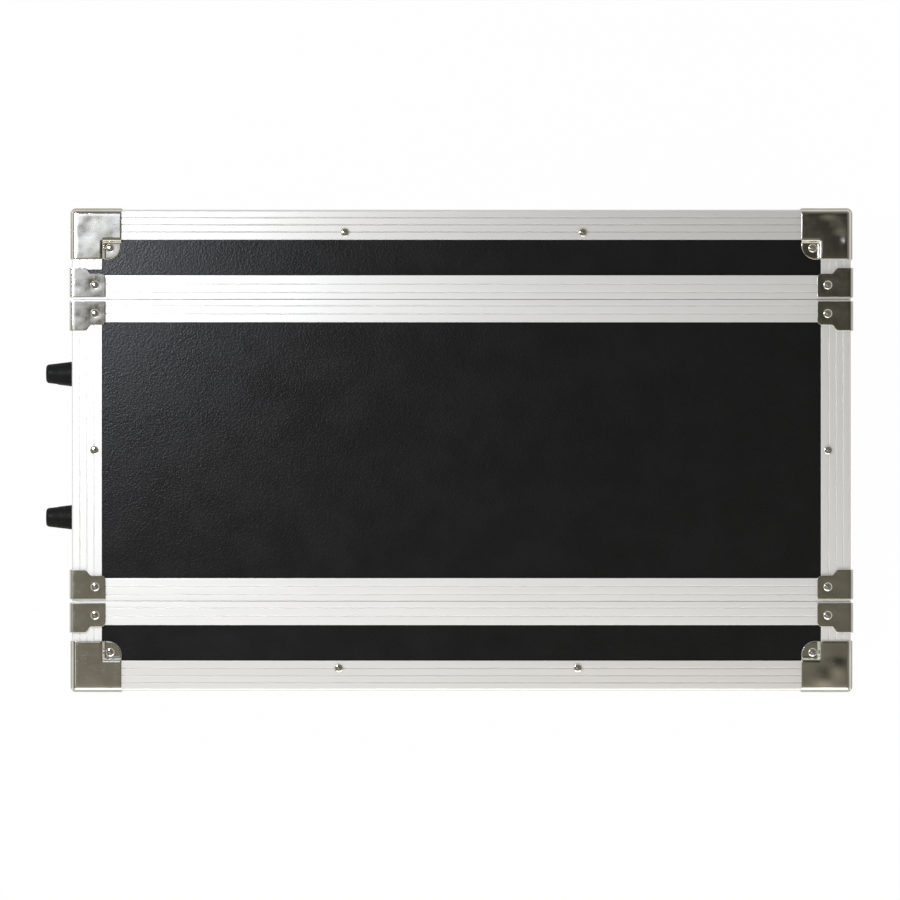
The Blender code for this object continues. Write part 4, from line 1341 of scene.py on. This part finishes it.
@dataclass
class Latches:
    """The twist latches: dished plates, hooks, winged levers and their rivets."""

    shop: Workshop
    rivets: Rivets
    lever_along: float = 20.3 * MM
    wing: float = 17.2 * MM
    hub: float = 6.2 * MM
    top: float = 1.2 * MM
    thickness: float = 3.4 * MM
    waist_power: float = 2.4
    stem: float = 3.2 * MM
    flange_half: float = 28 * MM
    flange_border: float = 3.2 * MM
    plate_sheet: float = 1 * MM
    dish_rivets: Flat = (-7 * MM, -38 * MM)
    dish_rivet_scale: float = 0.62
    keeper_rivet: Flat = (9 * MM, 20 * MM)
    keeper_rivet_scale: float = 0.7
    web: Flat = (0.30, 0.88)

    def outline(self, scale: float, count: int = 96) -> list[Flat]:
        """Draws the lever's outline, reduced to a share of its size.

        Args:
            scale: How much of its size is left.
            count: How many points it has.

        Returns:
            Its points in order.
        """
        points = []
        for i in range(count):
            turn = math.tau * i / count
            reach = (self.wing - self.hub) * abs(math.sin(turn)) ** self.waist_power
            radius = (self.hub + reach) * scale
            points.append((radius * math.cos(turn), radius * math.sin(turn)))
        return points

    def lever(self, place: Place) -> Draft:
        """Builds one lever: rounded wings, a dished web in each and a raised hub.

        Args:
            place: The map from (out, along, up) at its lid joint to the world.

        Returns:
            The lever.
        """
        web_start, web_end = self.web
        bottom, top = self.top - self.thickness, self.top
        levels = [(0.90, bottom), (0.97, bottom + 0.25 * MM), (1.0, bottom + 0.8 * MM), (1.0, top - 0.9 * MM),
                  (0.965, top - 0.25 * MM), (0.90, top), (0.84, top - 0.1 * MM), (0.76, top - 0.75 * MM),
                  (0.60, top - 0.95 * MM), (0.44, top - 0.75 * MM), (0.34, top - 0.1 * MM), (0.30, top),
                  (0.06, top)]
        rings = []
        for scale, height in levels:
            ring = []
            for x, y in self.outline(scale):
                reach = math.hypot(x, y)
                dished = smooth_step((reach - self.hub * 0.72) / (1.5 * MM))
                out = top if scale < web_end and dished <= 0 else height
                if web_start < scale < web_end:
                    out = top - (top - height) * dished
                ring.append(place(out, -self.lever_along + x, y))
            rings.append(ring)
        draft = Draft()
        draft.rings(rings)
        return draft

    def build(self) -> None:
        """Makes the four latches."""
        sizes = self.shop.sizes
        for end in End:
            for side in Side:
                word = f"{end.name.lower()}_{side.name.lower()}"
                place = sizes.wall_point(side, end)
                for kind, body, edge in (("dish", "case", 0.28), ("keeper", end.body, 0.28),
                                         ("hook", f"hook_{word}", 0.3)):
                    node = f"latch_{kind}_{word}"
                    finish = Finish.ZINC if kind == "hook" else Finish.NICKEL
                    self.shop.make(self.shop.from_node(node), PieceSpec(
                        f"{node}_plate", finish, body, Grain.ALONG_Z, (node,), edge=edge * MM))
                self.shop.make(self.lever(place), PieceSpec(
                    f"latch_lever_{word}_wings", Finish.NICKEL, f"lever_{word}", Grain.ALONG_Z,
                    (f"latch_lever_{word}",), crease=45))
                self.fasteners(word, side, end)

    def fasteners(self, word: str, side: Side, end: End) -> None:
        """Makes the stem and the rivets of one latch.

        Args:
            word: The latch's part of the names.
            side: Its side wall.
            end: Its lid.
        """
        sizes = self.shop.sizes
        place = sizes.wall_point(side, end)
        axis = (side, 0, 0)
        stem = Draft()
        low, high = self.top - self.thickness - 1.8 * MM, self.top
        profile = [(low, self.stem), (high, self.stem), (high + 0.35 * MM, self.stem * 0.95),
                   (high + 0.62 * MM, self.stem * 0.6), (high + 0.7 * MM, self.stem * 0.1)]
        stem.turned(profile, place(0, -self.lever_along, 0), axis, 24)
        self.shop.make(stem, PieceSpec(f"latch_stem_{word}", Finish.ZINC, f"lever_{word}"))
        body_rivets, lid_rivets = Draft(), Draft()
        on_rim, on_panel = sizes.skin + sizes.seat + self.plate_sheet, sizes.seat + self.plate_sheet
        for level in Level:
            up = level * (self.flange_half - self.flange_border)
            for out, along in zip((on_rim, on_panel), self.dish_rivets):
                self.rivets.add(body_rivets, place(out, along, up), axis, self.dish_rivet_scale)
            along, height = self.keeper_rivet
            self.rivets.add(lid_rivets, place(on_rim, along, level * height), axis, self.keeper_rivet_scale)
        for draft, body, part in ((body_rivets, "case", "dish"), (lid_rivets, end.body, "keeper")):
            self.shop.make(draft, PieceSpec(f"latch_{part}_{word}_rivets", Finish.NICKEL, body))


@dataclass
class Handle:
    """The recessed spring handle on the right wall."""

    shop: Workshop
    rivets: Rivets
    axis_y: float = 23.5 * MM
    axis_depth: float = 4.8 * MM
    arm: float = 41.5 * MM
    arm_z: float = 44.5 * MM
    bend: float = 5.0 * MM
    pin_end: float = 57.4 * MM
    rod: float = 3.0 * MM
    grip: float = 5.5 * MM
    grip_half: float = 36.5 * MM
    ribs: int = 16
    rib_depth: float = 0.55 * MM
    flange_half_y: float = 41.5 * MM
    flange_half_z: float = 66.5 * MM
    flange_top: float = 1.5 * MM

    def place(self, out: float, along: float, up: float) -> Point:
        """Maps a place on the right wall, from the middle of the body, to the world."""
        sizes = self.shop.sizes
        return sizes.middle_x + sizes.half_x + out, along, sizes.middle_z + up

    def path(self) -> list[Flat]:
        """Draws the bail's middle line.

        Returns:
            Its (along, up) points.
        """
        grip_y = self.axis_y - self.arm
        half: list[Flat] = [(self.axis_y, self.pin_end)]
        turns = [math.pi / 2 * i / 8 for i in range(9)]
        half += [(self.axis_y - self.bend * (1 - math.cos(turn)),
                  self.arm_z + self.bend * (1 - math.sin(turn))) for turn in turns]
        half += [(grip_y + self.bend * (1 - math.sin(turn)), self.arm_z - self.bend * (1 - math.cos(turn)))
                 for turn in turns]
        return half + [(along, -up) for along, up in reversed(half)]

    def bail(self) -> Draft:
        """Builds the bent rod.

        Returns:
            The rod.
        """
        points = [Vector((0, *point)) for point in self.path()]
        rings = []
        for i, point in enumerate(points):
            into = (point - points[max(i - 1, 0)]).normalized()
            onward = (points[min(i + 1, len(points) - 1)] - point).normalized()
            tangent = (into + onward).normalized()
            across = Vector((0, tangent.z, -tangent.y))
            turns = [math.tau * j / 20 for j in range(20)]
            rings.append([self.place(-self.axis_depth + self.rod * math.cos(turn),
                                     *(point + across * self.rod * math.sin(turn)).yz) for turn in turns])
        draft = Draft()
        draft.rings(rings)
        return draft

    def grip_sleeve(self) -> Draft:
        """Builds the moulded grip with its ribs and end collars.

        Returns:
            The grip.
        """
        half, bore = self.grip_half, self.rod + 0.3 * MM
        collar = 4.2 * MM
        profile = [(-half, bore), (-half, self.grip - 0.6 * MM), (-half + 0.6 * MM, self.grip),
                   (-half + collar - 0.5 * MM, self.grip), (-half + collar, self.grip - self.rib_depth)]
        length = 2 * (half - collar)
        for i in range(self.ribs):
            for share, height in ((0.18, 0), (0.38, 0.85), (0.5, 1), (0.62, 0.85), (0.82, 0)):
                along = -half + collar + length * (i + share) / self.ribs
                profile.append((along, self.grip - self.rib_depth * (1 - height)))
        profile += [(-along, radius) for along, radius in reversed(profile[:5])]
        draft = Draft()
        draft.turned(profile, self.place(-self.axis_depth, self.axis_y - self.arm, 0), (0, 0, 1), 32)
        return draft

    def build(self) -> None:
        """Makes the dish, the bail, the grip and the rivets."""
        self.shop.make(self.shop.from_node("handle_dish"), PieceSpec(
            "handle_dish_pressing", Finish.NICKEL, "case", Grain.ALONG_Z, ("handle_dish",), edge=0.4 * MM))
        self.shop.make(self.bail(), PieceSpec("handle_bail_rod", Finish.NICKEL, "handle", Grain.ALONG_Z,
                                              ("handle_bail",)))
        self.shop.make(self.grip_sleeve(), PieceSpec(
            "handle_grip_sleeve", Finish.RUBBER, "handle", Grain.ALONG_Z, ("handle_grip",), crease=50))
        heads = Draft()
        for along in (-1, 1):
            for up in (-1, 0, 1):
                spot = self.place(self.flange_top, along * (self.flange_half_y - 4.4 * MM),
                                  up * (self.flange_half_z - 6.5 * MM))
                self.rivets.add(heads, spot, (1, 0, 0), 0.8)
        self.shop.make(heads, PieceSpec("handle_rivets", Finish.NICKEL, "case"))


@dataclass
class Feet:
    """The four tapered rubber feet, each with its washer and screw."""

    shop: Workshop
    height: float = 20.5 * MM
    base: float = 8.8 * MM
    tip: float = 5.8 * MM
    rounding: float = 2.2 * MM
    recess: float = 3.3 * MM
    recess_depth: float = 9.0 * MM

    def profile(self) -> list[Flat]:
        """Draws the foot's outline with its base bead and its recess.

        Returns:
            Points of (height, radius).
        """
        seat = self.shop.sizes.seat
        slope = (self.base - self.tip) / self.height
        bead_top, bead = 2.4 * MM, 0.55 * MM
        points = [(seat, self.base - 0.4 * MM), (seat + 0.35 * MM, self.base), (1.9 * MM, self.base),
                  (bead_top, self.base - bead)]
        points += [(at, self.base - bead - slope * 0.82 * (at - bead_top))
                   for at in spaced(bead_top, self.height - self.rounding, 6)]
        last = points[-1][1]
        for turn in spaced(0, math.pi / 2, 6):
            points.append((self.height - self.rounding * (1 - math.sin(turn)),
                           last - self.rounding * (1 - math.cos(turn))))
        points += [(self.height, self.recess + 0.4 * MM), (self.height - 0.4 * MM, self.recess),
                   (self.height - self.recess_depth, self.recess - 0.2 * MM)]
        return points

    def screw(self) -> list[Flat]:
        """Draws the washer and the pan head on it, from the recess's floor.

        Returns:
            Points of (height, radius).
        """
        washer, head = self.recess - 0.35 * MM, self.recess - 0.9 * MM
        return [(-0.2 * MM, washer), (0.6 * MM, washer), (0.75 * MM, washer - 0.15 * MM), (0.75 * MM, head),
                (1.7 * MM, head), (2.2 * MM, head * 0.8), (2.45 * MM, head * 0.4), (2.3 * MM, head * 0.3),
                (1.5 * MM, head * 0.22), (1.5 * MM, head * 0.05)]

    def build(self) -> None:
        """Makes the feet on the left wall."""
        sizes = self.shop.sizes
        x = sizes.middle_x - sizes.half_x
        for end in End:
            for level in Level:
                name = f"foot_{end.name.lower()}_{level.name.lower()}"
                low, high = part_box(name)
                centre = (x, (low.y + high.y) / 2, (low.z + high.z) / 2)
                rubber, steel = Draft(), Draft()
                rubber.turned(self.profile(), centre, (-1, 0, 0), 40)
                steel.turned(self.screw(), (x - self.height + self.recess_depth, *centre[1:]), (-1, 0, 0), 24)
                self.shop.make(rubber, PieceSpec(f"{name}_moulding", Finish.RUBBER, "case", Grain.ALONG_X,
                                                 (name,), crease=50))
                self.shop.make(steel, PieceSpec(f"{name}_screw", Finish.ZINC, "case"))


@dataclass
class Inside:
    """What shows once the lids are off: rack rails and the panels' own faces."""

    shop: Workshop
    rivets: Rivets

    def build(self) -> None:
        """Dresses the panels and makes the rails with their rivets."""
        for node in ("body_shell", "front_lid_shell", "rear_lid_shell"):
            panel = self.shop.frame["nodes"][node]
            for slot in panel.material_slots:
                slot.material = self.shop.finishes[Finish.LAMINATE]
        for side in Side:
            node = f"rack_rail_{side.name.lower()}"
            self.shop.make(self.shop.from_node(node), PieceSpec(
                f"{node}_angle", Finish.ZINC, "case", Grain.ALONG_Z, (node,), edge=0.3 * MM))
            low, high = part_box(node)
            heads = Draft()
            wall = (high.x if side > 0 else low.x) - side * 2 * MM
            for share in (0.08, 0.36, 0.64, 0.92):
                spot = (wall, high.y - 8 * MM, low.z + (high.z - low.z) * share)
                self.rivets.add(heads, spot, (-side, 0, 0), 0.75)
            self.shop.make(heads, PieceSpec(f"{node}_rivets", Finish.NICKEL, "case"))


@dataclass
class Studio:
    """The pale floor, the soft light and the camera above the case's top face."""

    sizes: CaseSizes
    floor_z: float = -0.0012
    distance: float = 5.0
    view_width: float = 0.600
    aim_x: float = -7.6 * MM
    aim_y: float = 0.13 * MM
    lamp_aim: Point = (0.0, 0.0, 0.1)
    backdrop_share: float = 0.985

    def floor(self) -> None:
        """Lays the floor, whose colour is the background."""
        draft = Draft()
        steps = [-6.0 + i for i in range(13)]
        draft.grid([[(x, y, self.floor_z) for x in steps] for y in steps])
        mesh = bpy.data.meshes.new("studio_floor")
        draft.mesh.to_mesh(mesh)
        draft.mesh.free()
        floor = bpy.data.objects.new("studio_floor", mesh)
        bpy.context.scene.collection.objects.link(floor)
        board = Board("pale_floor")
        board.set(Base_Color=board.blend(board.between(board.noise(0.5, 2), 0, 1), (0.93, 0.93, 0.93),
                                         (0.94, 0.94, 0.94)), Roughness=0.9, Specular_IOR_Level=0.1)
        path = board.tree.nodes.new("ShaderNodeLightPath")
        glow = board.node("ShaderNodeEmission", {"Color": (1, 1, 1, 1), "Strength": 1.0})
        seen = board.math("MULTIPLY", path.outputs["Is Camera Ray"], self.backdrop_share)
        mixed = board.node("ShaderNodeMixShader", {0: seen, 1: board.shader.outputs[0], 2: glow.outputs[0]})
        output = next(node for node in board.tree.nodes if node.type == "OUTPUT_MATERIAL")
        board.tree.links.new(mixed.outputs[0], output.inputs["Surface"])
        mesh.materials.append(board.material)

    def sky(self) -> None:
        """Lights the room: pale round the walls, dim overhead, with a bright window left of the camera."""
        world = bpy.data.worlds.new("studio")
        bpy.context.scene.world = world
        world.use_nodes = True
        nodes = Nodes(world.node_tree, "Generated")
        height = nodes.along((0, 0, 1))
        ramp = nodes.node("ShaderNodeValToRGB", {0: height})
        stops = ((0.0, 0.95), (0.28, 0.98), (0.52, 0.76), (0.77, 0.26), (0.93, 0.21), (0.965, 0.24))
        elements = ramp.color_ramp.elements
        for i, (place, tone) in enumerate(stops):
            stop = elements[i] if i < 2 else elements.new(place)
            stop.position, stop.color = place, (tone, tone * 0.985, tone * 0.95, 1)
        shade = nodes.math("MAXIMUM", nodes.math("ADD", nodes.along((-0.5, -2.3, 0)), 0.155), 0.055)
        overhead = nodes.node("ShaderNodeVectorMath", {0: (1.0, 0.94, 0.78), "Scale": shade},
                              operation="SCALE")
        room = nodes.blend(nodes.between(height, 0, 1, 0.965, 0.990), ramp.outputs[0], overhead.outputs[0])
        across = nodes.along((-1, 2, 0))
        pane = nodes.math("MULTIPLY", nodes.between(across, 0, 1, 0.070, 0.130),
                          nodes.between(across, 1, 0, 0.17, 0.24))
        pane = nodes.math("MULTIPLY", pane, nodes.between(nodes.along((-1, 0, 0)), 0, 1, -0.03, 0.03))
        window = nodes.math("MULTIPLY", pane, nodes.between(height, 0, 1, 0.95, 0.975))
        nodes.tree.links.new(nodes.blend(window, room, (1.42, 1.50, 1.68)),
                             nodes.tree.nodes["Background"].inputs["Color"])

    def lamp(self, name: str, place: Point, size: Flat, power: float, colour: Point) -> None:
        """Hangs a soft box that faces the case.

        Args:
            name: What it's called.
            place: Where it hangs.
            size: Its width and height.
            power: Its power in watts.
            colour: Its colour.
        """
        light = bpy.data.lights.new(name, "AREA")
        light.shape, light.size, light.size_y = "RECTANGLE", *size
        light.energy, light.color = power, colour
        lamp = bpy.data.objects.new(name, light)
        lamp.location = place
        lamp.rotation_euler = (Vector(self.lamp_aim) - Vector(place)).to_track_quat("-Z", "Y").to_euler()
        lamp.visible_camera = False
        bpy.context.scene.collection.objects.link(lamp)

    def camera(self) -> None:
        """Sets the camera straight above the top face."""
        lens = bpy.data.cameras.new("camera")
        lens.type = "PERSP"
        lens.lens = lens.sensor_width * self.distance / self.view_width
        lens.clip_end = 50
        camera = bpy.data.objects.new("camera", lens)
        top = self.sizes.middle_z + self.sizes.half_z + self.sizes.skin
        camera.location = (self.sizes.middle_x + self.aim_x, self.aim_y, top + self.distance)
        bpy.context.scene.collection.objects.link(camera)
        bpy.context.scene.camera = camera

    def build(self) -> None:
        """Sets up the whole studio."""
        self.floor()
        self.sky()
        self.lamp("key_soft_box", (-0.38, 0.20, 0.80), (0.16, 0.16), 2.6, (0.93, 0.96, 1.04))
        self.lamp("fill_soft_box", (0.02, -0.50, 0.58), (0.75, 0.25), 2.25, (1.0, 0.985, 0.95))
        self.camera()
        bpy.context.scene.view_settings.view_transform = "Standard"


def main() -> None:
    """Loads the frame and dresses it, one sub-assembly after another."""
    logging.basicConfig(level=logging.INFO, format="%(name)s: %(message)s")
    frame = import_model()
    sizes = CaseSizes.from_frame()
    shop = Workshop(frame, sizes, {finish: kind().material() for finish, kind in FINISHES.items()})
    trim, corners, braces, rivets = Trim(shop), Corners(shop), Braces(shop), Rivets(shop)
    for assembly in (trim, corners, braces):
        assembly.build()
    rivets.build(trim, corners, braces)
    for assembly in (Latches(shop, rivets), Handle(shop, rivets), Feet(shop), Inside(shop, rivets),
                     Studio(sizes)):
        assembly.build()


if __name__ == "__main__":
    main()
